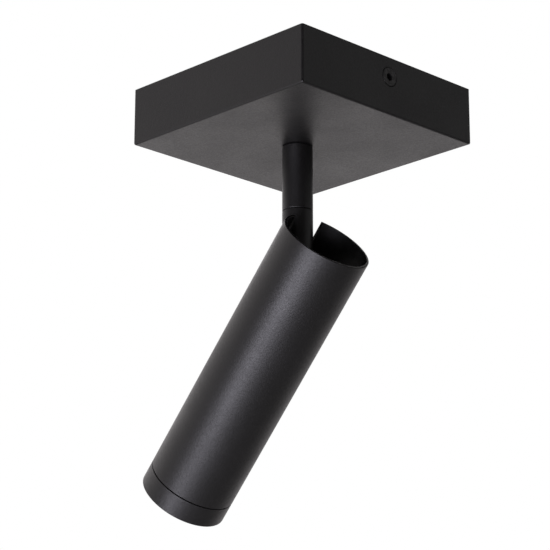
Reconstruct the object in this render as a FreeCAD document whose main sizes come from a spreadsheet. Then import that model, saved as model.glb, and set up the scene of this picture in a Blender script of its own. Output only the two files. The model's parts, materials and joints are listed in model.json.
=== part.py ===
import FreeCAD, Part
import math
import os
import Sketcher

# Surface mounted ceiling spotlight: a square canopy, a round stem with a swivel, and a long tube head
# that tilts on a pivot inside its open, slotted top. Millimetres, +Z up. The origin is the middle of the
# canopy's ceiling face, with the canopy's sides along X and Y and its two side screws on the X axis.

DOC = FreeCAD.newDocument("ceiling_spotlight")
SHEET = DOC.addObject("Spreadsheet::Sheet", "Sizes")

# Every driving size: its name, its value in millimetres (angles in degrees) and what it is.
SIZES = [
    ("canopy_side", 140, "outside of the square canopy"),
    ("canopy_height", 34.5, "ceiling to the canopy's lower face"),
    ("canopy_wall", 3, "wall and plate thickness"),
    ("canopy_corner_radius", 2, "upright outer edges"),
    ("canopy_edge_radius", 1.2, "lower outer edges"),
    ("screw_drop", 11.8, "ceiling to the side screws' axis"),
    ("screw_dia", 6, "side screw thread"),
    ("screw_head_dia", 11.4, "side screw's countersunk head"),
    ("screw_head_land", 0.2, "upright rim of that head"),
    ("screw_head_gap", 0.25, "ring gap round that head"),
    ("screw_length", 12, "side screw from its face to its tip"),
    ("screw_socket", 4, "its hexagon socket across the flats"),
    ("screw_socket_depth", 2.4, "depth of that socket"),
    ("bolt_hole_gap", 0.2, "radial gap of a screw in its clearance hole"),
    ("thread_gap", 0.03, "radial gap between a thread and its nut or hole"),
    ("bracket_width", 36, "ceiling bracket along Y"),
    ("bracket_thick", 2, "its steel sheet"),
    ("bracket_tab_drop", 21, "ceiling to the end of its side tabs"),
    ("bracket_gap", 0.3, "side tab to the canopy's wall"),
    ("ceiling_slot_spacing", 100, "between the two ceiling screw slots"),
    ("ceiling_slot_width", 5, "across a slot"),
    ("ceiling_slot_length", 15, "along a slot"),
    ("supply_hole_dia", 22, "bracket's hole for the supply cable"),
    ("clinch_nut_dia", 9.6, "clinch nut on the tab"),
    ("clinch_nut_length", 3.6, "its length"),
    ("stem_x", -4.8, "swivel axis from the canopy's middle, along X"),
    ("stem_y", 1, "swivel axis from the canopy's middle, along Y"),
    ("stem_dia", 18, "sleeve and knuckle"),
    ("stem_chamfer", 0.4, "edge broken on each side of the swivel seam"),
    ("sleeve_length", 39.8, "canopy to the swivel seam"),
    ("swivel_gap", 0.3, "running gap at the seam"),
    ("spigot_dia", 13, "sleeve's spigot in the canopy plate"),
    ("spigot_length", 2.6, "its length"),
    ("shaft_dia", 10, "hollow swivel shaft"),
    ("shaft_bore", 7, "its bore for the lead"),
    ("shaft_thread_depth", 12, "screwed into the knuckle"),
    ("shaft_tail", 1.5, "shaft above its upper nut"),
    ("running_gap", 0.05, "radial clearance of a shaft that turns"),
    ("swivel_washer_dia", 20, "friction washer on the canopy plate"),
    ("swivel_washer_thick", 1, "its thickness"),
    ("stop_washer_dia", 19, "washer that carries the stop finger"),
    ("stop_washer_thick", 1.2, "its thickness"),
    ("stop_finger_reach", 15, "finger's end from the swivel axis"),
    ("stop_finger_width", 4, "across the finger"),
    ("stop_pin_dia", 3, "stop pin"),
    ("stop_pin_reach", 13, "stop pin from the swivel axis"),
    ("stop_pin_seat", 2, "depth of the stop pin in the plate"),
    ("stop_pin_proud", 3, "stop pin above the plate"),
    ("shaft_nut_flats", 14, "thin nut across the flats"),
    ("shaft_nut_thick", 3, "its thickness"),
    ("face_gap", 0.05, "between faces that lie on each other"),
    ("overrun", 1, "how far a slab runs into, or a cut past, what it joins or opens"),
    ("pivot_depth", 89.4, "canopy to the tilt axis"),
    ("pan_angle", -6, "head's direction at rest, about Z from +X"),
    ("tilt_angle", 46.6, "head's tilt at rest, from straight down"),
    ("tongue_thick", 10, "knuckle's tongue along the tilt axis"),
    ("shoulder_gap", 1.5, "between the bracket's ears and the knuckle's shoulders"),
    ("lead_exit_height", 20, "tilt axis to the lead's exit in the knuckle"),
    ("pivot_dia", 6, "pivot bolt"),
    ("tube_dia", 54, "head tube"),
    ("tube_wall", 1.6, "its wall"),
    ("rim_chamfer", 0.3, "its broken rim edges"),
    ("rim_height", 36.6, "tilt axis to the tube's open rim"),
    ("slot_gap", 1.3, "stem to each side of the slot that it passes through"),
    ("seam_drop", 137.3, "tilt axis to the tube's front end"),
    ("ring_gap", 0.5, "seam between the tube and its front ring"),
    ("ring_length", 13.1, "front ring outside the tube"),
    ("tongue_gap", 3, "between the knuckle's tongue and the partition"),
    ("partition_thick", 3, "partition disc"),
    ("partition_gap", 0.1, "round the partition disc"),
    ("ledge_width", 4.9, "tube's inner wall to the bore of the ledge ring that carries the partition"),
    ("ledge_thick", 3, "its thickness"),
    ("ledge_screw_inset", 3, "tube's inner wall to the partition's three screws"),
    ("ear_thick", 5, "each ear of the tilt bracket"),
    ("tilt_washer_dia", 16, "friction washers between tongue and ears"),
    ("tilt_washer_thick", 0.8, "their thickness"),
    ("pivot_head_dia", 10, "pivot bolt's head"),
    ("pivot_head_thick", 3.5, "its thickness"),
    ("pivot_socket", 4, "its hexagon socket across the flats"),
    ("pivot_nut_flats", 10, "pivot nut across the flats"),
    ("pivot_nut_thick", 5, "its thickness"),
    ("pivot_tail", 1, "bolt beyond its nut"),
    ("spring_washer_dia", 10.6, "spring washer under the nut"),
    ("spring_washer_thick", 1.4, "its thickness"),
    ("small_screw_dia", 3, "small pan-head screws"),
    ("small_head_dia", 5.4, "their heads"),
    ("small_head_thick", 1.8, "thickness of those heads"),
    ("small_screw_length", 7, "under those heads"),
    ("standoff_dia", 6, "standoffs that carry the lamp holder"),
    ("standoff_stud_dia", 4, "their studs in the partition"),
    ("standoff_inset", 9.4, "tube's inner wall to the standoffs' axes"),
    ("holder_plate_thick", 1.5, "steel plate over the lamp holder"),
    ("holder_plate_end", 5, "standoffs' axes to its ends"),
    ("holder_plate_width", 16, "its width"),
    ("holder_length", 25, "lamp holder across the tube"),
    ("holder_width", 18, "its width"),
    ("holder_height", 16, "its height along the tube"),
    ("holder_screw_reach", 9.6, "lamp holder's screws from the axis"),
    ("holder_screw_dia", 2.5, "their thread"),
    ("holder_head_dia", 4.2, "their heads"),
    ("pin_spacing", 10, "lamp pins, middle to middle"),
    ("pin_dia", 3, "necks of the lamp pins"),
    ("pin_tip_dia", 5, "tips of the lamp pins"),
    ("pin_length", 7, "lamp pins"),
    ("pin_tip_length", 2, "their tips"),
    ("pin_hole_gap", 0.3, "round and behind a pin in the holder"),
    ("lamp_gap", 0.4, "tube's inner wall to the lamp's rim"),
    ("lamp_length", 50, "lamp from its base to its face"),
    ("lamp_rim_length", 8, "upright rim of the lamp"),
    ("lamp_base_dia", 23, "lamp's base"),
    ("lamp_base_length", 10, "its length"),
    ("lamp_wall", 1.8, "lamp's shell"),
    ("lamp_lens_thick", 2, "lens in the lamp's face"),
    ("light_source_dia", 10, "light source in the reflector"),
    ("light_source_thick", 1, "its thickness"),
    ("light_source_depth", 30, "lamp's face to the light source"),
    ("ring_spigot", 8, "front ring's threaded spigot in the tube"),
    ("ring_spigot_wall", 1.35, "spigot's wall behind the glass seat"),
    ("ring_seat_width", 1, "glass seat"),
    ("lamp_ring_gap", 0.7, "lamp's face to the spigot's end"),
    ("ring_seat_depth", 14, "front face to the glass seat"),
    ("ring_mouth_chamfer", 0.8, "inner edge of the front face"),
    ("glass_thick", 2.5, "front glass"),
    ("glass_gap", 0.2, "round the front glass"),
    ("clip_thick", 1, "wire clip behind the glass"),
    ("lead_dia", 5, "round lead"),
    ("lead_bend", 8, "bend radius of the supply lead's middle line"),
    ("lead_drop", 9, "ceiling to the supply lead's level run"),
    ("lamp_lead_end", 0.55, "lamp lead's straight end at the lamp holder"),
    ("lamp_lead_rise", 7, "lamp lead above the partition"),
    ("grommet_wall", 1.2, "grommet round the lamp lead"),
    ("grommet_lip", 1, "its lips above and below the partition"),
    ("grommet_gap", 0.2, "between its lip and the ledge"),
    ("block_x", 30.5, "terminal block's middle along X"),
    ("block_width", 17, "terminal block along X"),
    ("block_length", 27, "terminal block along Y"),
    ("block_height", 12, "terminal block under the bracket"),
    ("pole_pitch", 9, "between its three poles"),
    ("pole_screw_dia", 3.4, "its clamp screws"),
    ("pole_screw_well", 4, "wells of those screws"),
    ("pole_screw_depth", 1.2, "screw faces below the block's face"),
    ("pole_screw_length", 5, "length of those screws"),
    ("pole_screw_reach", 4.2, "clamp screws either side of the block's middle"),
    ("block_screw_dia", 2.5, "screws that hold the block to the bracket"),
    ("block_screw_head_dia", 3.8, "their heads"),
    ("block_screw_head_thick", 1.6, "thickness of their heads"),
    ("earth_x", -30, "earth screw along X"),
    ("earth_y", -9, "earth screw and earth lead along Y"),
    ("earth_screw_dia", 4, "earth screw"),
    ("earth_head_dia", 7, "its head"),
    ("earth_head_thick", 2.6, "its thickness"),
    ("earth_screw_length", 2.6, "under its head"),
    ("earth_tag_dia", 9, "ring of the earth tag"),
    ("earth_tag_thick", 0.8, "its thickness"),
    ("earth_barrel_length", 7, "crimped barrel of the tag"),
    ("earth_lead_dia", 2.4, "earth lead"),
]


class Size:
    """A size that knows its value and the sheet expression that it comes from."""

    def __init__(self, text, value):
        self.text = text
        self.value = float(value)

    def join(self, sign, other, swap=False):
        other = as_size(other)
        left, right = (other, self) if swap else (self, other)
        value = {
            "+": lambda: left.value + right.value,
            "-": lambda: left.value - right.value,
            "*": lambda: left.value * right.value,
            "/": lambda: left.value / right.value,
        }[sign]()
        return Size(f"({left.text} {sign} {right.text})", value)

    def __add__(self, other):
        return self.join("+", other)

    def __radd__(self, other):
        return self.join("+", other, swap=True)

    def __sub__(self, other):
        return self.join("-", other)

    def __rsub__(self, other):
        return self.join("-", other, swap=True)

    def __mul__(self, other):
        return self.join("*", other)

    def __rmul__(self, other):
        return self.join("*", other, swap=True)

    def __truediv__(self, other):
        return self.join("/", other)

    def __neg__(self):
        return Size(f"(0 - {self.text})", -self.value)

    def __float__(self):
        return self.value


def as_size(number):
    return number if isinstance(number, Size) else Size(repr(number), number)


class Sheet:
    """The driving sizes by name, read back from the spreadsheet."""


for row, (alias, value, note) in enumerate(SIZES, start=1):
    SHEET.set(f"A{row}", alias)
    SHEET.set(f"B{row}", str(value))
    SHEET.setAlias(f"B{row}", alias)
    SHEET.set(f"C{row}", note)
DOC.recompute()

s = Sheet()
for alias, value, note in SIZES:
    setattr(s, alias, Size(f"Sizes.{alias}", SHEET.get(alias)))

SUBPARTS = []


# --- building blocks -------------------------------------------------------------------------------

def vector(x=0, y=0, z=0):
    return FreeCAD.Vector(float(x), float(y), float(z))


def about(axis, degrees):
    return FreeCAD.Rotation(axis, float(degrees))


def placed(x=0, y=0, z=0, rotation=None):
    return FreeCAD.Placement(vector(x, y, z), rotation or FreeCAD.Rotation())


X_AXIS = vector(1, 0, 0)
Y_AXIS = vector(0, 1, 0)
Z_AXIS = vector(0, 0, 1)


def bind(thing, path, size):
    thing.setExpression(path, as_size(size).text)


def new_body(label):
    body = DOC.addObject("PartDesign::Body", label)
    body.Label = label
    return body


def origin_plane(body, role):
    return [feature for feature in body.Origin.OriginFeatures if feature.Role == role][0]


def new_sketch(body, role, offset=None, side_offset=None):
    """A sketch on one of the body's own planes, moved along its normal or up its own Y."""
    sketch = body.newObject("Sketcher::SketchObject", f"{body.Label}_outline")
    sketch.AttachmentSupport = [(origin_plane(body, role), "")]
    sketch.MapMode = "FlatFace"
    if offset is not None:
        bind(sketch, ".AttachmentOffset.Base.z", offset)
    if side_offset is not None:
        bind(sketch, ".AttachmentOffset.Base.y", side_offset)
    return sketch


def pin_point(sketch, geometry, end, x, y):
    for kind, size in (("DistanceX", as_size(x)), ("DistanceY", as_size(y))):
        index = sketch.addConstraint(Sketcher.Constraint(kind, geometry, end, size.value))
        sketch.setExpression(f"Constraints[{index}]", size.text)


def add_loop(sketch, points):
    """A closed outline of straight lines, each corner held by two sizes."""
    first = sketch.GeometryCount
    count = len(points)
    for index in range(count):
        start = vector(*points[index])
        end = vector(*points[(index + 1) % count])
        sketch.addGeometry(Part.LineSegment(start, end), False)
    for index in range(count):
        following = first + (index + 1) % count
        sketch.addConstraint(Sketcher.Constraint("Coincident", first + index, 2, following, 1))
    for index, (x, y) in enumerate(points):
        pin_point(sketch, first + index, 1, x, y)


def add_circle(sketch, x, y, radius):
    index = sketch.addGeometry(Part.Circle(vector(x, y), Z_AXIS, float(radius)), False)
    pin_point(sketch, index, 3, x, y)
    held = sketch.addConstraint(Sketcher.Constraint("Radius", index, float(radius)))
    sketch.setExpression(f"Constraints[{held}]", as_size(radius).text)


def box_loop(half_x, half_y, x=0, y=0):
    x = as_size(x)
    y = as_size(y)
    return [(x - half_x, y - half_y), (x + half_x, y - half_y),
            (x + half_x, y + half_y), (x - half_x, y + half_y)]


def hexagon(flats):
    """Corners of a hexagon of that width across its flats, centred on the sketch."""
    corner = flats / math.sqrt(3)
    return [(corner, 0), (corner / 2, flats / 2), (-corner / 2, flats / 2),
            (-corner, 0), (-corner / 2, -flats / 2), (corner / 2, -flats / 2)]


def turn(body, outline):
    """Turns an outline of (radius, height) about the body's Z axis."""
    sketch = new_sketch(body, "XZ_Plane")
    add_loop(sketch, outline)
    feature = body.newObject("PartDesign::Revolution", f"{body.Label}_turned")
    feature.Profile = sketch
    feature.ReferenceAxis = (sketch, ["V_Axis"])
    feature.Angle = 360
    return feature


def turned(label, outline):
    body = new_body(label)
    turn(body, outline)
    return body


def shape_sketch(body, role, loops, circles, offset):
    sketch = new_sketch(body, role, offset)
    for loop in loops:
        add_loop(sketch, loop)
    for circle in circles:
        add_circle(sketch, *circle)
    return sketch


def pad(body, role, length, loops=(), circles=(), offset=None, back=False, both=False):
    """Adds a slab along the plane's normal: back turns it round, both centres it."""
    feature = body.newObject("PartDesign::Pad", f"{body.Label}_pad")
    feature.Profile = shape_sketch(body, role, loops, circles, offset)
    feature.Reversed = back
    if both:
        feature.SideType = "Symmetric"
    bind(feature, "Length", length)
    return feature


CUTS = []


def pocket(body, role, length, loops=(), circles=(), offset=None, back=False, both=False):
    """Cuts against the plane's normal: back turns it round, both centres it."""
    before = body.Tip
    feature = body.newObject("PartDesign::Pocket", f"{body.Label}_cut")
    feature.Profile = shape_sketch(body, role, loops, circles, offset)
    feature.Reversed = back
    if both:
        feature.SideType = "Symmetric"
    bind(feature, "Length", length)
    CUTS.append((before, feature))
    return feature


def fillet(body, base, radius, test):
    """Rounds the edges of a feature for which test(edge) holds."""
    DOC.recompute()
    names = [f"Edge{index}" for index, edge in enumerate(base.Shape.Edges, start=1) if test(edge)]
    feature = body.newObject("PartDesign::Fillet", f"{body.Label}_fillet")
    feature.Base = (base, names)
    bind(feature, "Radius", radius)
    return feature


def keep(piece, label, placement=None):
    """Registers a sub-part under its label and sets it in its place."""
    piece.Label = label
    DOC.recompute()
    if placement is not None:
        piece.Placement = placement
    SUBPARTS.append(piece)
    return piece


def copies(label, piece, placements):
    """One sub-part of separate, identical solids."""
    links = []
    for index, placement in enumerate(placements, start=1):
        link = DOC.addObject("App::Link", f"{label}_{index}")
        link.LinkedObject = piece
        link.Placement = placement
        links.append(link)
    group = DOC.addObject("Part::Compound", label)
    group.Links = links
    return keep(group, label)


def round_bar(name, radius, length, x=0, y=0, z=0, rotation=None):
    bar = DOC.addObject("Part::Cylinder", name)
    bind(bar, "Radius", radius)
    bind(bar, "Height", length)
    bar.Placement = placed(0, 0, 0, rotation)
    for axis, size in (("x", x), ("y", y), ("z", z)):
        bind(bar, f".Placement.Base.{axis}", size)
    return bar


def quarter_bend(name, bend, radius, x, y, z, rotation):
    """A quarter of a torus for the bend of a lead."""
    arc = DOC.addObject("Part::Torus", name)
    bind(arc, "Radius1", bend)
    bind(arc, "Radius2", radius)
    arc.Angle3 = 90
    arc.Placement = placed(0, 0, 0, rotation)
    for axis, size in (("x", x), ("y", y), ("z", z)):
        bind(arc, f".Placement.Base.{axis}", size)
    return arc


def joined(label, pieces):
    group = DOC.addObject("Part::MultiFuse", label)
    group.Shapes = pieces
    return group


def ring(label, inner, outer, low, high):
    return turned(label, [(inner, low), (outer, low), (outer, high), (inner, high)])


def nut(label, flats, bore_radius, thick):
    """A hexagon nut that stands on its own XY plane."""
    body = new_body(label)
    pad(body, "XY_Plane", thick, loops=[hexagon(flats)])
    pocket(body, "XY_Plane", thick, circles=[(0, 0, bore_radius)], back=True)
    return body


def pan_screw(label, dia, length, head_dia, head_thick):
    """A screw whose head stands on Z = 0 and whose shank points down."""
    return turned(label, [(0, -length), (dia / 2, -length), (dia / 2, 0), (head_dia / 2, 0),
                          (head_dia / 2, head_thick), (0, head_thick)])


def hex_socket(body, flats, depth, face):
    pocket(body, "XY_Plane", depth, loops=[hexagon(flats)], offset=face)


# --- frames of the moving groups at rest -----------------------------------------------------------

plate_top = s.canopy_wall - s.canopy_height
pivot_height = -(s.canopy_height + s.pivot_depth)
pan = about(Z_AXIS, s.pan_angle)
swivel_frame = placed(s.stem_x, s.stem_y, 0, pan)
knuckle_frame = placed(s.stem_x, s.stem_y, pivot_height, pan)
head_frame = placed(s.stem_x, s.stem_y, pivot_height, pan.multiply(about(Y_AXIS, s.tilt_angle)))
along_y = about(X_AXIS, -90)


def in_head(x=0, y=0, z=0, rotation=None):
    return head_frame.multiply(placed(x, y, z, rotation))


# --- canopy and ceiling bracket --------------------------------------------------------------------

def canopy_cover():
    body = new_body("canopy_cover")
    half = s.canopy_side / 2
    inner = half - s.canopy_wall
    block = pad(body, "XY_Plane", s.canopy_height, loops=[box_loop(half, half)], back=True)
    uprights = fillet(body, block, s.canopy_corner_radius,
                      lambda edge: edge.BoundBox.ZLength > s.canopy_height.value / 2)
    low = s.canopy_edge_radius - s.canopy_height
    fillet(body, uprights, s.canopy_edge_radius, lambda edge: edge.BoundBox.ZMax < low.value)
    pocket(body, "XY_Plane", s.canopy_height - s.canopy_wall, loops=[box_loop(inner, inner)])
    pocket(body, "XY_Plane", s.canopy_height * 2,
           circles=[(s.stem_x, s.stem_y, s.spigot_dia / 2 + s.running_gap)], both=True)
    pocket(body, "XY_Plane", s.stop_pin_seat, offset=plate_top,
           circles=[(s.stem_x - s.stop_pin_reach, s.stem_y, s.stop_pin_dia / 2 + s.thread_gap)])
    before = body.Tip
    sketch = new_sketch(body, "XZ_Plane", side_offset=-s.screw_drop)
    mouth = s.screw_head_dia / 2 + s.screw_head_gap
    hole = s.screw_dia / 2 + s.bolt_hole_gap
    inside = inner - s.canopy_wall
    for sign in (1, -1):
        add_loop(sketch, [(sign * half, 0), (sign * half, mouth), (sign * (half - (mouth - hole)), hole),
                          (sign * inside, hole), (sign * inside, 0)])
    groove = body.newObject("PartDesign::Groove", "canopy_cover_countersinks")
    groove.Profile = sketch
    groove.ReferenceAxis = (sketch, ["H_Axis"])
    groove.Angle = 360
    CUTS.append((before, groove))
    keep(body, "canopy_cover")


def ceiling_bracket():
    body = new_body("ceiling_bracket")
    reach = s.canopy_side / 2 - s.canopy_wall - s.bracket_gap
    inner = reach - s.bracket_thick
    drop = -s.bracket_tab_drop
    under = -s.bracket_thick
    pad(body, "XZ_Plane", s.bracket_width, both=True,
        loops=[[(-reach, drop), (-inner, drop), (-inner, under), (inner, under),
                (inner, drop), (reach, drop), (reach, 0), (-reach, 0)]])
    through = s.bracket_thick * 3
    slot_end = s.ceiling_slot_width / 2
    straight = s.ceiling_slot_length / 2 - slot_end
    for sign in (1, -1):
        middle = sign * s.ceiling_slot_spacing / 2
        pocket(body, "XY_Plane", through, both=True, loops=[box_loop(straight, slot_end, x=middle)])
        for end in (1, -1):
            pocket(body, "XY_Plane", through, both=True, circles=[(middle + end * straight, 0, slot_end)])
    pocket(body, "XY_Plane", through, both=True, circles=[(0, 0, s.supply_hole_dia / 2)])
    block_hole = s.block_screw_dia / 2 + s.thread_gap
    pocket(body, "XY_Plane", through, both=True,
           circles=[(s.block_x, sign * s.pole_pitch / 2, block_hole) for sign in (1, -1)])
    pocket(body, "XY_Plane", through, both=True,
           circles=[(s.earth_x, s.earth_y, s.earth_screw_dia / 2 + s.thread_gap)])
    pocket(body, "YZ_Plane", s.canopy_side, both=True,
           circles=[(0, -s.screw_drop, s.screw_dia / 2 + s.bolt_hole_gap)])
    keep(body, "ceiling_bracket")


def side_fastener_places(inset):
    """Places on both X sides, Z pointing out of the canopy, that far inside its side faces."""
    reach = s.canopy_side / 2 - inset
    return [placed(reach, 0, -s.screw_drop, about(Y_AXIS, 90)),
            placed(-reach, 0, -s.screw_drop, about(Y_AXIS, -90))]


def canopy_screws():
    head = s.screw_head_dia / 2
    shank = s.screw_dia / 2
    land = s.screw_head_land
    body = turned("canopy_screw", [(0, 0), (head, 0), (head, -land), (shank, -(land + head - shank)),
                                   (shank, -s.screw_length), (0, -s.screw_length)])
    hex_socket(body, s.screw_socket, s.screw_socket_depth, 0)
    copies("canopy_screws", body, side_fastener_places(as_size(0)))


def clinch_nuts():
    body = ring("clinch_nut", s.screw_dia / 2 + s.thread_gap, s.clinch_nut_dia / 2,
                -s.clinch_nut_length, as_size(0))
    inset = s.canopy_wall + s.bracket_gap + s.bracket_thick + s.face_gap
    copies("clinch_nuts", body, side_fastener_places(inset))


def terminal_block():
    body = new_body("terminal_block")
    pad(body, "XY_Plane", s.block_height, back=True,
        loops=[box_loop(s.block_width / 2, s.block_length / 2)])
    wells = []
    for pole in (-1, 0, 1):
        for sign in (1, -1):
            wells.append((sign * s.pole_screw_reach, pole * s.pole_pitch, s.pole_screw_well / 2))
    depth = s.pole_screw_depth + s.pole_screw_length + s.face_gap
    pocket(body, "XY_Plane", depth, circles=wells, offset=-s.block_height, back=True)
    bores = [(0, sign * s.pole_pitch / 2, s.block_screw_dia / 2 + s.thread_gap) for sign in (1, -1)]
    heads = [(0, sign * s.pole_pitch / 2, s.block_screw_head_dia / 2 + s.thread_gap) for sign in (1, -1)]
    pocket(body, "XY_Plane", s.block_height * 3, circles=bores, both=True)
    pocket(body, "XY_Plane", s.block_screw_head_thick + s.face_gap, circles=heads,
           offset=-s.block_height, back=True)
    keep(body, "terminal_block", placed(s.block_x, 0, -(s.bracket_thick + s.face_gap)))


def terminal_screws():
    body = turned("terminal_screw", [(0, 0), (s.pole_screw_dia / 2, 0),
                                     (s.pole_screw_dia / 2, s.pole_screw_length), (0, s.pole_screw_length)])
    slit = s.pole_screw_dia / 4
    pocket(body, "XY_Plane", slit, loops=[box_loop(s.pole_screw_dia, slit / 3)], back=True)
    face = -(s.bracket_thick + s.face_gap + s.block_height - s.pole_screw_depth)
    places = []
    for pole in (-1, 0, 1):
        for sign in (1, -1):
            places.append(placed(s.block_x + sign * s.pole_screw_reach, pole * s.pole_pitch, face))
    copies("terminal_screws", body, places)


def block_screws():
    length = s.block_height - s.block_screw_head_thick + s.bracket_thick
    body = pan_screw("block_screw", s.block_screw_dia, length, s.block_screw_head_dia,
                     s.block_screw_head_thick)
    face = -(s.bracket_thick + s.face_gap + s.block_height - s.block_screw_head_thick)
    down = about(X_AXIS, 180)
    places = [placed(s.block_x, sign * s.pole_pitch / 2, face, down) for sign in (1, -1)]
    copies("block_screws", body, places)


def earth_parts():
    tag_top = -(s.bracket_thick + s.face_gap)
    head_face = tag_top - s.earth_tag_thick - s.face_gap
    screw = pan_screw("earth_screw", s.earth_screw_dia, s.earth_screw_length, s.earth_head_dia,
                      s.earth_head_thick)
    keep(screw, "earth_screw", placed(s.earth_x, s.earth_y, head_face, about(X_AXIS, 180)))

    tag = new_body("earth_tag")
    barrel = s.earth_lead_dia / 2 + s.earth_tag_thick
    pad(tag, "XY_Plane", s.earth_tag_thick, circles=[(0, 0, s.earth_tag_dia / 2)], back=True)
    neck_end = s.earth_tag_dia / 2 + s.overrun
    pad(tag, "XY_Plane", s.earth_tag_thick, back=True,
        loops=[box_loop(neck_end / 2, s.earth_lead_dia / 2, x=neck_end / 2)])
    pad(tag, "YZ_Plane", s.earth_barrel_length, offset=neck_end, circles=[(0, -barrel, barrel)])
    pocket(tag, "YZ_Plane", s.earth_barrel_length, offset=neck_end, back=True,
           circles=[(0, -barrel, s.earth_lead_dia / 2 + s.thread_gap)])
    pocket(tag, "XY_Plane", s.earth_tag_thick * 3, both=True,
           circles=[(0, 0, s.earth_screw_dia / 2 + s.thread_gap)])
    keep(tag, "earth_tag", placed(s.earth_x, s.earth_y, tag_top))

    start = s.earth_x + neck_end + s.face_gap
    length = s.block_x - s.block_width / 2 - s.face_gap - start
    lead = round_bar("earth_lead", s.earth_lead_dia / 2, length, start, s.earth_y, tag_top - barrel,
                     about(Y_AXIS, 90))
    keep(lead, "earth_lead")


# --- stem and swivel -------------------------------------------------------------------------------

shaft_radius = s.shaft_dia / 2
shoulder_height = s.stem_dia / 2 + s.shoulder_gap
knuckle_top = s.pivot_depth - s.sleeve_length - s.swivel_gap
washer_top = plate_top + s.swivel_washer_thick + s.face_gap
stop_top = washer_top + s.stop_washer_thick + s.face_gap
nuts_top = stop_top + s.shaft_nut_thick * 2 + s.face_gap * 2
shaft_top = nuts_top + s.shaft_tail


def stem_sleeve():
    bore = shaft_radius + s.running_gap
    outer = s.stem_dia / 2
    body = turned("stem_sleeve", [
        (bore, -s.sleeve_length), (outer - s.stem_chamfer, -s.sleeve_length),
        (outer, s.stem_chamfer - s.sleeve_length), (outer, 0), (s.spigot_dia / 2, 0),
        (s.spigot_dia / 2, s.spigot_length), (bore, s.spigot_length)])
    keep(body, "stem_sleeve", placed(s.stem_x, s.stem_y, -s.canopy_height))


def stop_pin():
    pin = round_bar("stop_pin", s.stop_pin_dia / 2, s.stop_pin_seat + s.stop_pin_proud - s.face_gap,
                    s.stem_x - s.stop_pin_reach, s.stem_y, plate_top - s.stop_pin_seat + s.face_gap)
    keep(pin, "stop_pin")


def supply_lead():
    radius = s.lead_dia / 2
    level = -s.lead_drop
    bend_low = level - s.lead_bend
    run_start = s.stem_x + s.lead_bend
    run_end = s.block_x - s.block_width / 2 - s.face_gap
    low_end = pivot_height + s.lead_exit_height + s.lead_dia
    drop = round_bar("supply_lead_drop", radius, bend_low - low_end, s.stem_x, s.stem_y, low_end)
    level_run = round_bar("supply_lead_run", radius, run_end - run_start, run_start, s.stem_y, level,
                          about(Y_AXIS, 90))
    # the torus quarter from +X to +Y is turned to lie in the XZ plane, from -X up to +Z
    turned_up = about(X_AXIS, 90).multiply(about(Z_AXIS, 90))
    bend = quarter_bend("supply_lead_bend", s.lead_bend, radius, run_start, s.stem_y, bend_low, turned_up)
    keep(joined("supply_lead", [drop, bend, level_run]), "supply_lead")


def swivel_shaft():
    low = s.pivot_depth - s.sleeve_length - s.swivel_gap - s.shaft_thread_depth + pivot_height
    body = ring("swivel_shaft", s.shaft_bore / 2, shaft_radius, low, shaft_top)
    keep(body, "swivel_shaft", swivel_frame)


def swivel_washers():
    bore = shaft_radius + s.thread_gap
    washer = ring("swivel_washer", bore, s.swivel_washer_dia / 2, plate_top + s.face_gap, washer_top)
    keep(washer, "swivel_washer", swivel_frame)

    stop = ring("stop_washer", bore, s.stop_washer_dia / 2, washer_top + s.face_gap, stop_top)
    start = s.stop_washer_dia / 2 - s.overrun
    length = s.stop_finger_reach - start
    pad(stop, "XY_Plane", s.stop_washer_thick, offset=washer_top + s.face_gap,
        loops=[box_loop(length / 2, s.stop_finger_width / 2, x=start + length / 2)])
    keep(stop, "stop_washer", swivel_frame)


def swivel_nuts():
    body = nut("swivel_nut", s.shaft_nut_flats, shaft_radius + s.thread_gap, s.shaft_nut_thick)
    first = stop_top + s.face_gap
    places = [swivel_frame.multiply(placed(z=first + index * (s.shaft_nut_thick + s.face_gap)))
              for index in range(2)]
    copies("swivel_nuts", body, places)


def knuckle():
    body = new_body("knuckle")
    radius = s.stem_dia / 2
    turn(body, [(0, shoulder_height), (radius, shoulder_height), (radius, knuckle_top - s.stem_chamfer),
                (radius - s.stem_chamfer, knuckle_top), (0, knuckle_top)])
    overlap = shoulder_height + s.overrun
    pad(body, "XZ_Plane", s.tongue_thick, both=True, loops=[box_loop(radius, overlap / 2, y=overlap / 2)])
    pad(body, "XZ_Plane", s.tongue_thick, both=True, circles=[(0, 0, radius)])
    pocket(body, "XZ_Plane", s.stem_dia, both=True, circles=[(0, 0, s.pivot_dia / 2 + s.running_gap)])
    pocket(body, "XY_Plane", s.shaft_thread_depth + s.face_gap, offset=knuckle_top,
           circles=[(0, 0, shaft_radius + s.thread_gap)])
    bore = s.shaft_bore / 2
    pocket(body, "XY_Plane", knuckle_top - s.lead_exit_height, offset=knuckle_top, circles=[(0, 0, bore)])
    pocket(body, "YZ_Plane", s.stem_dia, circles=[(0, s.lead_exit_height, bore)], back=True)
    keep(body, "knuckle", knuckle_frame)


# --- tilt bracket and its pivot --------------------------------------------------------------------

ear_inner = s.tongue_thick / 2 + s.tilt_washer_thick + s.face_gap * 2
ear_outer = ear_inner + s.ear_thick
partition_drop = s.stem_dia / 2 + s.tongue_gap
partition_low = -(partition_drop + s.partition_thick)
tube_inner = s.tube_dia / 2 - s.tube_wall
ledge = tube_inner - s.ledge_width
standoff_reach = tube_inner - s.standoff_inset
lead_hole = s.lead_dia / 2 + s.grommet_wall
lamp_lead_reach = ledge - lead_hole - s.grommet_lip - s.grommet_gap


def screw_circle():
    """Directions of the three partition screws, clear of the slot and the lead."""
    reach = tube_inner - s.ledge_screw_inset
    return [(reach * math.cos(math.radians(angle)), reach * math.sin(math.radians(angle)))
            for angle in (60, 180, 300)]


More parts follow.
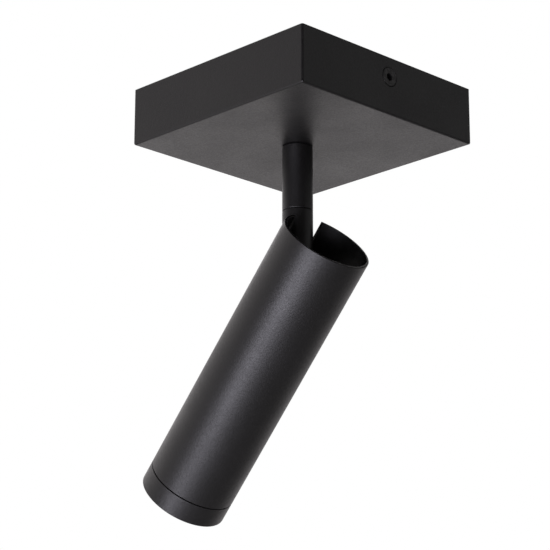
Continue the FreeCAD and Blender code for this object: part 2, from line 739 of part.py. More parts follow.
def tilt_bracket():
    body = new_body("tilt_bracket")
    pad(body, "XY_Plane", s.partition_thick, circles=[(0, 0, tube_inner - s.partition_gap)],
        offset=partition_low)
    radius = s.stem_dia / 2
    rise = partition_drop + s.partition_thick / 2
    pad(body, "XZ_Plane", ear_outer * 2, both=True, loops=[box_loop(radius, rise / 2, y=-rise / 2)])
    pad(body, "XZ_Plane", ear_outer * 2, both=True, circles=[(0, 0, radius)])
    pocket(body, "XY_Plane", radius + partition_drop, offset=radius,
           loops=[box_loop(s.stem_dia, ear_inner)])
    pocket(body, "XZ_Plane", s.tube_dia, both=True, circles=[(0, 0, s.pivot_dia / 2 + s.running_gap)])
    through = s.partition_thick * 3
    low = partition_low - s.partition_thick
    holes = [(x, y, s.small_screw_dia / 2 + s.bolt_hole_gap) for x, y in screw_circle()]
    holes += [(0, sign * standoff_reach, s.standoff_stud_dia / 2 + s.thread_gap) for sign in (1, -1)]
    holes.append((lamp_lead_reach, 0, lead_hole))
    pocket(body, "XY_Plane", through, circles=holes, offset=low, back=True)
    keep(body, "tilt_bracket", head_frame)


def pivot_hardware():
    bolt_end = ear_outer + s.spring_washer_thick + s.pivot_nut_thick + s.pivot_tail + s.face_gap * 2
    head = ear_outer + s.face_gap
    shank = s.pivot_dia / 2
    face = head + s.pivot_head_thick
    bolt = turned("pivot_bolt", [(0, -bolt_end), (shank, -bolt_end), (shank, head),
                                 (s.pivot_head_dia / 2, head), (s.pivot_head_dia / 2, face), (0, face)])
    hex_socket(bolt, s.pivot_socket, s.pivot_head_thick / 2, face)
    keep(bolt, "pivot_bolt", in_head(rotation=along_y))

    bore = shank + s.running_gap
    spring_low = -(ear_outer + s.face_gap + s.spring_washer_thick)
    washer = ring("pivot_spring_washer", bore, s.spring_washer_dia / 2, spring_low, -(ear_outer + s.face_gap))
    keep(washer, "pivot_spring_washer", in_head(rotation=along_y))

    pivot_nut = nut("pivot_nut", s.pivot_nut_flats, shank + s.thread_gap, s.pivot_nut_thick)
    nut_low = spring_low - s.face_gap - s.pivot_nut_thick
    keep(pivot_nut, "pivot_nut", in_head(y=nut_low, rotation=along_y))

    tilt_washer = ring("tilt_washer", bore, s.tilt_washer_dia / 2, as_size(0), s.tilt_washer_thick)
    inner_face = s.tongue_thick / 2 + s.face_gap
    copies("tilt_washers", tilt_washer, [
        in_head(y=inner_face, rotation=along_y),
        in_head(y=-(inner_face + s.tilt_washer_thick), rotation=along_y)])


def bracket_screws():
    body = pan_screw("bracket_screw", s.small_screw_dia, s.small_screw_length, s.small_head_dia,
                     s.small_head_thick)
    face = s.face_gap - partition_drop
    copies("bracket_screws", body, [in_head(x, y, face) for x, y in screw_circle()])


# --- head tube and front ring ----------------------------------------------------------------------

def head_tube():
    body = new_body("head_tube")
    outer = s.tube_dia / 2
    chamfer = s.rim_chamfer
    turn(body, [
        (outer, -s.seam_drop), (outer, s.rim_height - chamfer), (outer - chamfer, s.rim_height),
        (tube_inner + chamfer, s.rim_height), (tube_inner, s.rim_height - chamfer),
        (tube_inner, -s.seam_drop)])
    half = s.stem_dia / 2 + s.slot_gap
    top = s.rim_height + s.overrun
    pocket(body, "YZ_Plane", s.tube_dia, loops=[box_loop(half, top / 2, y=top / 2)])
    pocket(body, "YZ_Plane", s.tube_dia, circles=[(0, 0, half)])
    keep(body, "head_tube", head_frame)


def ledge_ring():
    """The ring pressed into the tube, on which the partition is screwed down."""
    top = partition_low - s.face_gap
    low = top - s.ledge_thick
    body = ring("ledge_ring", ledge, tube_inner - s.face_gap, low, top)
    holes = [(x, y, s.small_screw_dia / 2 + s.thread_gap) for x, y in screw_circle()]
    pocket(body, "XY_Plane", s.ledge_thick * 2, circles=holes, offset=low - s.ledge_thick / 2, back=True)
    keep(body, "ledge_ring", head_frame)


ring_top = s.ring_spigot - s.seam_drop
ring_shoulder = -(s.seam_drop + s.ring_gap)
front = ring_shoulder - s.ring_length
glass_low = front + s.ring_seat_depth
ring_spigot_radius = tube_inner - s.running_gap
ring_seat = ring_spigot_radius - s.ring_spigot_wall


def front_ring():
    outer = s.tube_dia / 2
    spigot = ring_spigot_radius
    bore = ring_seat - s.ring_seat_width
    mouth = s.ring_mouth_chamfer
    body = turned("front_ring", [
        (bore + mouth, front), (outer - s.rim_chamfer, front), (outer, front + s.rim_chamfer),
        (outer, ring_shoulder), (spigot, ring_shoulder), (spigot, ring_top), (ring_seat, ring_top),
        (ring_seat, glass_low), (bore, glass_low), (bore, front + mouth)])
    keep(body, "front_ring", head_frame)


def front_glass():
    edge = ring_seat - s.glass_gap
    low = glass_low + s.face_gap
    high = low + s.glass_thick
    glass = turned("front_glass", [(0, low), (edge, low), (edge, high), (0, high)])
    keep(glass, "front_glass", head_frame)
    clip = ring("glass_clip", ring_seat - s.clip_thick * 2, ring_seat - s.running_gap, high + s.face_gap,
                high + s.face_gap + s.clip_thick)
    keep(clip, "glass_clip", head_frame)


# --- lamp and its holder ---------------------------------------------------------------------------

lamp_low = ring_top + s.lamp_ring_gap
lamp_high = lamp_low + s.lamp_length
holder_low = lamp_high + s.face_gap
holder_high = holder_low + s.holder_height
plate_low = holder_high + s.face_gap
plate_high = plate_low + s.holder_plate_thick
standoff_length = partition_low - plate_high


def standoffs():
    stud = s.standoff_stud_dia / 2
    radius = s.standoff_dia / 2
    bore = s.small_screw_dia / 2 + s.thread_gap
    stud_length = s.partition_thick + s.face_gap
    blind = s.small_screw_length - s.holder_plate_thick + s.small_screw_dia / 2
    low = s.face_gap - standoff_length
    body = turned("standoff", [(bore, low), (radius, low), (radius, 0), (stud, 0), (stud, stud_length),
                               (0, stud_length), (0, low + blind), (bore, low + blind)])
    face = partition_low - s.face_gap
    copies("standoffs", body, [in_head(0, sign * standoff_reach, face) for sign in (1, -1)])


def holder_plate():
    body = new_body("holder_plate")
    pad(body, "XY_Plane", s.holder_plate_thick, offset=plate_low,
        loops=[box_loop(s.holder_plate_width / 2, standoff_reach + s.holder_plate_end)])
    holes = []
    for sign in (1, -1):
        holes.append((0, sign * standoff_reach, s.small_screw_dia / 2 + s.bolt_hole_gap))
        holes.append((0, sign * s.holder_screw_reach, s.holder_screw_dia / 2 + s.bolt_hole_gap))
    pocket(body, "XY_Plane", s.holder_plate_thick * 3, circles=holes,
           offset=plate_low - s.holder_plate_thick, back=True)
    keep(body, "holder_plate", head_frame)


def plate_screws():
    body = pan_screw("plate_screw", s.small_screw_dia, s.small_screw_length, s.small_head_dia,
                     s.small_head_thick)
    up = about(X_AXIS, 180)
    face = plate_low - s.face_gap
    copies("plate_screws", body, [in_head(0, sign * standoff_reach, face, up) for sign in (1, -1)])


def holder_screws():
    body = pan_screw("holder_screw", s.holder_screw_dia, s.small_screw_length, s.holder_head_dia,
                     s.small_head_thick)
    face = plate_high + s.face_gap
    copies("holder_screws", body, [in_head(0, sign * s.holder_screw_reach, face) for sign in (1, -1)])


def lamp_holder():
    body = new_body("lamp_holder")
    pad(body, "XY_Plane", s.holder_height, offset=holder_low,
        loops=[box_loop(s.holder_width / 2, s.holder_length / 2)])
    pins = [(0, sign * s.pin_spacing / 2, s.pin_tip_dia / 2 + s.pin_hole_gap) for sign in (1, -1)]
    pocket(body, "XY_Plane", s.pin_length + s.pin_hole_gap, circles=pins, offset=holder_low, back=True)
    screws = [(0, sign * s.holder_screw_reach, s.holder_screw_dia / 2 + s.thread_gap) for sign in (1, -1)]
    pocket(body, "XY_Plane", s.small_screw_length, circles=screws, offset=holder_high)
    keep(body, "lamp_holder", head_frame)


def lamp():
    rim = tube_inner - s.lamp_gap
    base = s.lamp_base_dia / 2
    rim_top = lamp_low + s.lamp_rim_length
    lens_seat = lamp_low + s.lamp_lens_thick + s.face_gap
    source = lamp_low + s.light_source_depth
    lens = rim - s.lamp_wall
    reflector = lens - s.lamp_wall
    throat = s.light_source_dia / 2 + s.running_gap
    shell = turned("lamp_body", [
        (0, lamp_high), (base, lamp_high), (base, lamp_high - s.lamp_base_length), (rim, rim_top),
        (rim, lamp_low), (lens, lamp_low), (lens, lens_seat), (reflector, lens_seat), (throat, source),
        (0, source)])
    keep(shell, "lamp_body", head_frame)

    lens_top = lamp_low + s.lamp_lens_thick
    lens_edge = lens - s.running_gap
    cover = turned("lamp_lens", [(0, lamp_low), (lens_edge, lamp_low), (lens_edge, lens_top), (0, lens_top)])
    keep(cover, "lamp_lens", head_frame)

    source_low = source - s.face_gap - s.light_source_thick
    source_edge = s.light_source_dia / 2
    light = turned("light_source", [(0, source_low), (source_edge, source_low),
                                    (source_edge, source - s.face_gap), (0, source - s.face_gap)])
    keep(light, "light_source", head_frame)

    neck = s.pin_length - s.pin_tip_length
    pin = turned("lamp_pin", [(0, 0), (s.pin_dia / 2, 0), (s.pin_dia / 2, neck), (s.pin_tip_dia / 2, neck),
                              (s.pin_tip_dia / 2, s.pin_length), (0, s.pin_length)])
    face = lamp_high + s.face_gap
    copies("lamp_pins", pin, [in_head(0, sign * s.pin_spacing / 2, face) for sign in (1, -1)])


def lamp_lead():
    radius = s.lead_dia / 2
    top = s.lamp_lead_rise - partition_drop
    entry = (holder_high + holder_low) / 2
    stub_start = s.holder_width / 2 + s.face_gap
    bend_x = stub_start + s.lamp_lead_end
    bend_radius = lamp_lead_reach - bend_x
    bend_top = entry + bend_radius
    drop = round_bar("lamp_lead_drop", radius, top - bend_top, lamp_lead_reach, 0, bend_top)
    # the torus quarter from +X to +Y is turned to lie in the XZ plane, from +X down to -Z
    bend = quarter_bend("lamp_lead_bend", bend_radius, radius, bend_x, 0, bend_top, about(X_AXIS, -90))
    stub = round_bar("lamp_lead_stub", radius, s.lamp_lead_end, stub_start, 0, entry, about(Y_AXIS, 90))
    keep(joined("lamp_lead", [drop, bend, stub]), "lamp_lead", head_frame)

    bore = radius + s.face_gap
    neck = lead_hole - s.thread_gap
    lip = lead_hole + s.grommet_lip
    low = partition_low - s.face_gap
    high = s.face_gap - partition_drop
    grommet = turned("lead_grommet", [
        (bore, low - s.grommet_lip), (lip, low - s.grommet_lip), (lip, low), (neck, low), (neck, high),
        (lip, high), (lip, high + s.grommet_lip), (bore, high + s.grommet_lip)])
    keep(grommet, "lead_grommet", in_head(lamp_lead_reach))


# --- the whole spotlight ---------------------------------------------------------------------------

def check():
    """Stops before anything is written if a feature failed or a cut removed nothing."""
    DOC.recompute()
    for thing in DOC.Objects:
        if "Invalid" in thing.State or "Error" in thing.State:
            raise RuntimeError(f"{thing.Label} did not build")
    for before, feature in CUTS:
        if feature.Shape.Volume >= before.Shape.Volume - 1e-6:
            raise RuntimeError(f"{feature.Label} cuts nothing")
    for piece in SUBPARTS:
        if piece.Shape.isNull() or not piece.Shape.isValid():
            raise RuntimeError(f"{piece.Label} has no valid shape")


def write():
    os.makedirs("parts", exist_ok=True)
    for piece in SUBPARTS:
        piece.Shape.exportStep(f"parts/{piece.Label}.step")


for build in (canopy_cover, ceiling_bracket, canopy_screws, clinch_nuts, terminal_block, terminal_screws,
              block_screws, earth_parts, stem_sleeve, stop_pin, supply_lead, swivel_shaft, swivel_washers,
              swivel_nuts, knuckle, tilt_bracket, pivot_hardware, bracket_screws, head_tube, ledge_ring,
              front_ring, front_glass, standoffs, holder_plate, plate_screws, holder_screws, lamp_holder,
              lamp, lamp_lead):
    build()

check()
write()
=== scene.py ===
import json
import math

import bmesh
import bpy
from bpy.props import FloatProperty, FloatVectorProperty, IntProperty, PointerProperty
from mathutils import Matrix, Vector


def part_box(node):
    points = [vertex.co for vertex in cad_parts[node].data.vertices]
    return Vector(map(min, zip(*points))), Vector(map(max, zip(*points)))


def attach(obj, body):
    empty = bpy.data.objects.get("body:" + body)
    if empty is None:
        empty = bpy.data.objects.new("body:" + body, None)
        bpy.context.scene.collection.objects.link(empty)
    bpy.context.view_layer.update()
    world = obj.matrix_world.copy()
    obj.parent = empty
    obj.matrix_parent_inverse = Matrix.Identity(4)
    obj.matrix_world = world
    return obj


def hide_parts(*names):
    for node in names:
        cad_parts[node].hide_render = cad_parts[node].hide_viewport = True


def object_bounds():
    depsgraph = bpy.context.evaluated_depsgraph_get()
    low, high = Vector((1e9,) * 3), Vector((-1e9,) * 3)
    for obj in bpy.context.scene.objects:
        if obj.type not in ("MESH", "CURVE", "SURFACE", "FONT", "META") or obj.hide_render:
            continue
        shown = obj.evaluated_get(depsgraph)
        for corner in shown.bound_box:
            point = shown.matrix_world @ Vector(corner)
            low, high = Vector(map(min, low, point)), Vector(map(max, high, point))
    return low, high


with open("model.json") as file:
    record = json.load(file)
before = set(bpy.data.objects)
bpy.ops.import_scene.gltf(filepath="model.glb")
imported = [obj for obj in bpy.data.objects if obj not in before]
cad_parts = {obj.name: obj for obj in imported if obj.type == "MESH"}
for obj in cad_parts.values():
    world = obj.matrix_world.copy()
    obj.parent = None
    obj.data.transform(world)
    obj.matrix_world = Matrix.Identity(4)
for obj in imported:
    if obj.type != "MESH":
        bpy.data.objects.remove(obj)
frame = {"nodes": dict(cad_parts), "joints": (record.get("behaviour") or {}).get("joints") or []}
CAD_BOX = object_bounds()

bl_info = {
    "name": "Ceiling Spotlight",
    "version": (1, 0, 0),
    "blender": (4, 5, 0),
    "location": "View3D > Sidebar > Spotlight",
    "description": "Dresses a surface mounted ceiling spotlight: canopy, stem, head and lamp",
    "category": "Object",
}

NODES = frame["nodes"]
JOINTS = {joint["name"]: joint for joint in frame["joints"]}

MM = 0.001
MERGE = 0.001 * MM     # vertices nearer than this become one
ON_FACE = 0.01 * MM    # a vertex this near a face is on it
ON_RIM = 0.05 * MM     # a vertex this near a round rim is on it
PAST = 1 * MM          # how far a cutter passes the face that it opens
FIT_GAP = 0.05 * MM    # between a piece and what it fits into

RIM_STEPS = 96         # faces round a lamp, a lens or a screw's mouth
SCREW_STEPS = 72
HOLE_STEPS = 64
BORE_STEPS = 48
SLOT_STEPS = 40
REFLECTOR_FACETS = 36
SMOOTH_ANGLE = 32      # degrees: sharper edges stay sharp
WHITE = (1, 1, 1)


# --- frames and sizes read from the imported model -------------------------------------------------

def frame_of(origin, along, across):
    """A matrix whose Z is `along` and whose Y is `across`, both square to each other."""
    z = Vector(along).normalized()
    y = (Vector(across) - Vector(across).dot(z) * z).normalized()
    x = y.cross(z)
    matrix = Matrix((x, y, z)).transposed().to_4x4()
    matrix.translation = Vector(origin)
    return matrix


def local_box(node, matrix):
    """Lowest and highest corner of a node in a frame of its own."""
    back = matrix.inverted()
    points = [back @ vertex.co for vertex in NODES[node].data.vertices]
    low = Vector([min(point[axis] for point in points) for axis in range(3)])
    high = Vector([max(point[axis] for point in points) for axis in range(3)])
    return low, high


PIVOT = Vector(JOINTS["tilt"]["pos_m"])
TILT_AXIS = Vector(JOINTS["tilt"]["axis"])
HEAD = frame_of(PIVOT, -Vector(JOINTS["ring_advance"]["axis"]), TILT_AXIS)
STEM = frame_of((PIVOT.x, PIVOT.y, 0), (0, 0, 1), TILT_AXIS)

CANOPY_LOW, CANOPY_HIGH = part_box("canopy_cover")
SLEEVE_LOW, SLEEVE_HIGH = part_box("stem_sleeve")
SCREWS_LOW, SCREWS_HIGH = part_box("canopy_screws")
TUBE_LOW, TUBE_HIGH = local_box("head_tube", HEAD)
RING_LOW, RING_HIGH = local_box("front_ring", HEAD)
GLASS_LOW, GLASS_HIGH = local_box("front_glass", HEAD)
SHELL_LOW, SHELL_HIGH = local_box("lamp_body", HEAD)
LENS_LOW, LENS_HIGH = local_box("lamp_lens", HEAD)
SOURCE_HIGH = local_box("light_source", HEAD)[1]


# --- settings ------------------------------------------------------------------------------------

def number(name, description, default, **options):
    return FloatProperty(name=name, description=description, default=default, **options)


def metres(name, description, default):
    return number(name, description, default, min=0, max=20, unit="LENGTH", precision=5)


def millimetres(name, description, default):
    return metres(name, description, default * MM)


def power(name, description, default):
    return number(name, description, default, unit="POWER")


def triple(name, description, default, subtype, **options):
    return FloatVectorProperty(name=name, description=description, default=default, size=3,
                               subtype=subtype, **options)


def colour(name, description, default):
    return triple(name, description, default, "COLOR", min=0, max=1)


class SpotlightShapeSettings(bpy.types.PropertyGroup):
    """Sizes that the outer box of a piece doesn't give."""

    canopy_wall: millimetres("Canopy wall", "Wall and plate of the canopy", 3)
    canopy_corner: millimetres("Canopy corner", "Radius of the upright corners", 1.2)
    canopy_edge: millimetres("Canopy edge", "Radius of the lower edges", 1.2)
    spigot_radius: millimetres("Spigot hole", "Radius of the stem's hole in the canopy", 6.55)
    screw_thread: millimetres("Screw thread", "Outer radius of the side screws' thread", 3)
    screw_head: millimetres("Screw head", "Radius of the side screws' heads", 5.4)
    screw_gap: millimetres("Screw gap", "Ring gap round a side screw's head", 0.55)
    screw_socket: millimetres("Screw socket", "Hexagon socket across its flats", 4)
    socket_depth: millimetres("Socket depth", "Depth of the hexagon socket", 2.4)
    thread_pitch: millimetres("Thread pitch", "Pitch of the side screws", 1)
    sleeve_bore: millimetres("Sleeve bore", "Radius of the stem sleeve's bore", 5.05)
    sleeve_spigot: millimetres("Sleeve spigot", "Radius of the sleeve's spigot", 6.5)
    tube_wall: millimetres("Tube wall", "Wall of the head tube", 1.6)
    slot_half: millimetres("Slot half width", "Half the width of the stem's slot", 10.3)
    ring_lip: millimetres("Ring lip", "Front ring in front of its shoulder", 13.1)
    ring_seat: millimetres("Glass seat", "Radius of the opening behind the glass seat", 24)
    ring_bore: millimetres("Ring bore", "Radius of the ring's clear opening", 23)
    ring_pitch: millimetres("Ring pitch", "Pitch of the ring's thread", 1.5)
    ring_thread_depth: millimetres("Ring thread depth", "Depth of the ring's thread", 0.45)
    skin: millimetres("Skin", "How far the ring stays inside its CAD box", 0.01)
    soft_edge: millimetres("Soft edge", "Radius of a coated edge", 0.3)
    fine_edge: millimetres("Fine edge", "Broken edge of small hardware", 0.12)
    round_steps: IntProperty(name="Round steps", description="Faces round a large turned piece",
                             default=192, min=32, max=256)


class SpotlightCoatSettings(bpy.types.PropertyGroup):
    """The black powder coat."""

    colour: colour("Coat colour", "Black of the coat", (0.0026, 0.0022, 0.0022))
    speck: colour("Speck colour", "Light specks in the coat", (0.020, 0.018, 0.018))
    roughness: number("Roughness", "Roughness of the coat", 0.45, min=0, max=1)
    grain: millimetres("Grain", "Size of the coat's grain", 0.9)
    grain_depth: millimetres("Grain depth", "Height of the coat's grain", 0.07)
    ripple: millimetres("Ripple", "Size of the coat's flow ripple", 3.5)
    ripple_depth: millimetres("Ripple depth", "Height of that ripple", 0.05)


class SpotlightMetalSettings(bpy.types.PropertyGroup):
    """Colours of the bare and plated metals."""

    zinc: colour("Zinc", "Zinc plate", (0.62, 0.63, 0.64))
    black_oxide: colour("Black oxide", "Blackened steel", (0.036, 0.035, 0.035))
    brass: colour("Brass", "Bare brass", (0.72, 0.52, 0.23))
    mirror: colour("Mirror", "Reflector's coat", (0.88, 0.88, 0.9))


class SpotlightPlasticSettings(bpy.types.PropertyGroup):
    """Colours of plastics, ceramic, rubber and glass."""

    block: colour("Block", "Terminal block", (0.74, 0.73, 0.69))
    ceramic: colour("Ceramic", "Lamp holder", (0.80, 0.78, 0.72))
    shell: colour("Shell", "Lamp's shell", (0.76, 0.76, 0.74))
    washer: colour("Washer", "Slip washers", (0.05, 0.05, 0.052))
    rubber: colour("Rubber", "Grommet", (0.02, 0.02, 0.02))
    sheath: colour("Sheath", "Round leads", (0.035, 0.035, 0.037))
    earth_green: colour("Earth green", "Earth lead's sheath", (0.06, 0.30, 0.05))
    earth_yellow: colour("Earth yellow", "Earth lead's stripes", (0.82, 0.66, 0.03))
    phosphor: colour("Phosphor", "Light source, unlit", (0.90, 0.72, 0.16))
    glass: colour("Glass", "Front glass and lens", (0.97, 0.985, 0.98))


class SpotlightStageSettings(bpy.types.PropertyGroup):
    """Camera, lights, floor and backdrop."""

    camera_place: triple("Camera place", "Where the camera stands",
                         (0.8024, -0.8079, -0.4506), "TRANSLATION")
    heading: number("Heading", "Camera's turn about Z, from +Y", math.radians(45.597),
                    subtype="ANGLE")
    rise: number("Rise", "How far the camera looks up", math.radians(16.467), subtype="ANGLE")
    roll: number("Roll", "Camera's roll", 0.0014, subtype="ANGLE")
    lens: number("Lens", "Focal length on a 36 mm sensor", 135.11)
    floor_drop: metres("Floor drop", "Ceiling face to the floor", 2.4)
    floor_solid: metres("Floor radius", "Radius within which the floor is solid", 2.5)
    floor_reach: metres("Floor reach", "Radius at which it has faded out", 5.0)
    floor_colour: colour("Floor colour", "Pale floor", (0.78, 0.78, 0.78))
    floor_glow: number("Floor glow", "What the camera and glass see on top of its shade", 0.62)
    bright_side: triple("Bright side", "Where the studio is brightest",
                        (-0.94, 0.24, -0.16), "DIRECTION")
    studio_start: number("Studio start", "Cosine to the bright side where the light starts", -0.1)
    studio_end: number("Studio end", "Cosine to the bright side where the light is full", 1.0)
    studio_low: number("Studio low", "Studio's light from its dark side", 0.08)
    studio_high: number("Studio high", "Studio's light from its bright side", 1.24)
    studio_colour: colour("Studio colour", "Slightly warm light of the studio",
                          (1.0, 0.955, 0.965))
    key_side: triple("Key side", "From the head towards the key softbox",
                     (0.19, -0.68, -0.71), "DIRECTION")
    key_distance: metres("Key distance", "Head to the key softbox, and to the fill", 3.3)
    key_width: metres("Key width", "Across the key softbox", 3.1)
    key_length: metres("Key length", "Along the key softbox", 3.2)
    key_power: power("Key power", "Key softbox", 300)
    key_colour: colour("Key colour", "Cool light of the key softbox", (0.91, 0.89, 1.0))
    fill_side: triple("Fill side", "From the head towards the fill softbox",
                      (0.68, 0.66, 0.31), "DIRECTION")
    fill_power: power("Fill power", "Fill softbox", 8)
    top_offset: triple("Top offset", "From the middle to the softbox over the back",
                       (-0.55, 0.5, 0.8), "TRANSLATION")
    top_width: metres("Top width", "Across that softbox", 0.9)
    top_power: power("Top power", "Softbox over the back", 2.5)


# --- building blocks -----------------------------------------------------------------------------

def with_mesh(mesh, name):
    """A new object holding the bmesh, which is used up."""
    data = bpy.data.meshes.new(name)
    mesh.to_mesh(data)
    mesh.free()
    piece = bpy.data.objects.new(name, data)
    bpy.context.scene.collection.objects.link(piece)
    return piece


def finish_mesh(mesh, name, matrix, finish, body, replaced, slot=None, smooth_angle=SMOOTH_ANGLE):
    """Turns a bmesh into a piece in its place, riding on its body and standing for its CAD nodes.

    The slot argument is not used.
    """
    if not mesh.faces:
        raise RuntimeError(f"{name} could not be made")
    bmesh.ops.transform(mesh, matrix=matrix, verts=mesh.verts)
    bmesh.ops.recalc_face_normals(mesh, faces=mesh.faces)
    piece = with_mesh(mesh, name)
    piece.data.materials.append(material(finish))
    piece.data.shade_smooth()
    piece.data.set_sharp_from_angle(angle=math.radians(smooth_angle))
    piece.modifiers.new("flats", "WEIGHTED_NORMAL").keep_sharp = True
    slot = slot or finish
    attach(piece, body)
    if replaced:
        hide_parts(*replaced)
    return piece


def turned(profile, steps, closed=True):
    """A bmesh turned about Z from an outline of (radius, height)."""
    mesh = bmesh.new()
    points = [mesh.verts.new((radius, 0, height)) for radius, height in profile]
    edges = [mesh.edges.new(pair) for pair in zip(points, points[1:])]
    if closed:
        edges.append(mesh.edges.new((points[-1], points[0])))
    bmesh.ops.spin(mesh, geom=points + edges, cent=(0, 0, 0), axis=(0, 0, 1),
                   angle=math.tau, steps=steps, use_merge=True)
    bmesh.ops.remove_doubles(mesh, verts=mesh.verts, dist=MERGE)
    bmesh.ops.recalc_face_normals(mesh, faces=mesh.faces)
    return mesh


def corner(before, point, after, radius, steps=4):
    """An outline's corner as a round arc that takes up less than half of either neighbour."""
    nearly_half = 0.49
    point = Vector(point)
    back = Vector(before) - point
    ahead = Vector(after) - point
    towards = back.normalized()
    away = ahead.normalized()
    half = towards.angle(away) / 2
    reach = min(radius / math.tan(half), back.length * nearly_half, ahead.length * nearly_half)
    radius = reach * math.tan(half)
    centre = point + (towards + away).normalized() * (radius / math.sin(half))
    start = point + towards * reach - centre
    sweep = start.angle_signed(point + away * reach - centre)
    return [tuple(centre + Matrix.Rotation(-sweep * step / steps, 2) @ start)
            for step in range(steps + 1)]


def rounded(outline, radii, steps=4):
    """A closed outline whose corners with a radius above 0 are round."""
    result = []
    for index, (point, radius) in enumerate(zip(outline, radii)):
        if radius > 0:
            following = outline[(index + 1) % len(outline)]
            result += corner(outline[index - 1], point, following, radius, steps)
        else:
            result.append(point)
    return result


def circle(radius, sides):
    """The corners of a regular outline about the origin."""
    return [(radius * math.cos(math.tau * side / sides), radius * math.sin(math.tau * side / sides))
            for side in range(sides)]


def half_circle(radius, steps):
    """The lower half of a circle about the origin, from left to right."""
    turns = [math.pi + math.pi * step / steps for step in range(steps + 1)]
    return [(radius * math.cos(turn), radius * math.sin(turn)) for turn in turns]


def box_between(low, high):
    """A closed box as a bmesh."""
    mesh = bmesh.new()
    bmesh.ops.create_cube(mesh, size=1)
    bmesh.ops.scale(mesh, vec=Vector(high) - Vector(low), verts=mesh.verts)
    bmesh.ops.translate(mesh, vec=(Vector(low) + Vector(high)) / 2, verts=mesh.verts)
    return mesh


def prism(corner_points, low, high, matrix=Matrix()):
    """A straight prism along Z on a closed outline of (x, y)."""
    mesh = bmesh.new()
    face = mesh.faces.new([mesh.verts.new((x, y, low)) for x, y in corner_points])
    raised = bmesh.ops.extrude_face_region(mesh, geom=[face])
    tops = [item for item in raised["geom"] if isinstance(item, bmesh.types.BMVert)]
    bmesh.ops.translate(mesh, vec=(0, 0, high - low), verts=tops)
    bmesh.ops.recalc_face_normals(mesh, faces=mesh.faces)
    bmesh.ops.transform(mesh, matrix=matrix, verts=mesh.verts)
    return mesh


def combined(mesh, other, operation="DIFFERENCE"):
    """The bmesh with another cut out of it, or added to it. Both are used up."""
    solid = with_mesh(mesh, "solid")
    tool = with_mesh(other, "tool")
    modifier = solid.modifiers.new("combine", "BOOLEAN")
    modifier.operation = operation
    modifier.solver = "EXACT"
    modifier.object = tool
    depsgraph = bpy.context.evaluated_depsgraph_get()
    result = bmesh.new()
    result.from_mesh(solid.evaluated_get(depsgraph).to_mesh())
    for used in (solid, tool):
        data = used.data
        bpy.data.objects.remove(used)
        bpy.data.meshes.remove(data)
    bmesh.ops.remove_doubles(result, verts=result.verts, dist=MERGE)
    bmesh.ops.dissolve_degenerate(result, edges=result.edges, dist=MERGE)
    return result


def round_edges(mesh, edges, radius, steps=3):
    """Bevels the edges, if there are any, to a round section."""
    if edges:
        bmesh.ops.bevel(mesh, geom=edges, offset=radius, offset_type="OFFSET", segments=steps,
                        profile=0.5, affect="EDGES", clamp_overlap=True, material=-1)


def sharp_edges(mesh, test=None, angle=30):
    """Edges that turn by more than the angle in degrees and pass the test."""
    limit = math.radians(angle)
    return [edge for edge in mesh.edges
            if len(edge.link_faces) == 2 and edge.calc_face_angle(0) > limit
            and (test is None or test(edge))]


# --- material building blocks --------------------------------------------------------------------

MIDDLE_LOW, MIDDLE_HIGH = 0.3, 0.7      # the band that most of a noise lies in
COLOUR_A, COLOUR_B, COLOUR_OUT = 6, 7, 2    # a Mix node's colour sockets
NUMBER_A, NUMBER_B, NUMBER_OUT = 2, 3, 0    # and its number sockets


class NodeGraph:
    """The nodes of a material or a world."""

    def __init__(self, owner):
        owner.use_nodes = True
        self.nodes = owner.node_tree.nodes
        self.links = owner.node_tree.links

    def put(self, socket, value):
        """Joins an output to the socket, or sets a number, a vector or a colour on it."""
        if isinstance(value, bpy.types.NodeSocket):
            self.links.new(value, socket)
        elif socket.type == "RGBA":
            socket.default_value = (*value, 1.0)
        else:
            socket.default_value = value

    def add(self, kind, inputs=None, **settings):
        """A new node with its settings, and its inputs by name or number."""
        node = self.nodes.new(f"ShaderNode{kind}")
        for name, value in settings.items():
            setattr(node, name, value)
        for key, value in (inputs or {}).items():
            self.put(node.inputs[key], value)
        return node

    def maths(self, operation, first, second):
        return self.add("Math", {0: first, 1: second}, operation=operation).outputs["Value"]

    def spread(self, value, to_low=0.0, to_high=1.0, low=MIDDLE_LOW, high=MIDDLE_HIGH,
               curve="LINEAR"):
        """Takes the band from low to high over to another."""
        inputs = {"Value": value, "From Min": low, "From Max": high, "To Min": to_low,
                  "To Max": to_high}
        return self.add("MapRange", inputs, interpolation_type=curve).outputs["Result"]

    def blend(self, factor, first, second):
        """A colour between two others, each a triple or an output."""
        inputs = {"Factor": factor, COLOUR_A: first, COLOUR_B: second}
        return self.add("Mix", inputs, data_type="RGBA").outputs[COLOUR_OUT]

    def seen(self):
        """1 for what the camera or glass sees, and 0 for what lights the object."""
        rays = self.add("LightPath").outputs
        return self.maths("MAXIMUM", rays["Is Camera Ray"], rays["Is Transmission Ray"])


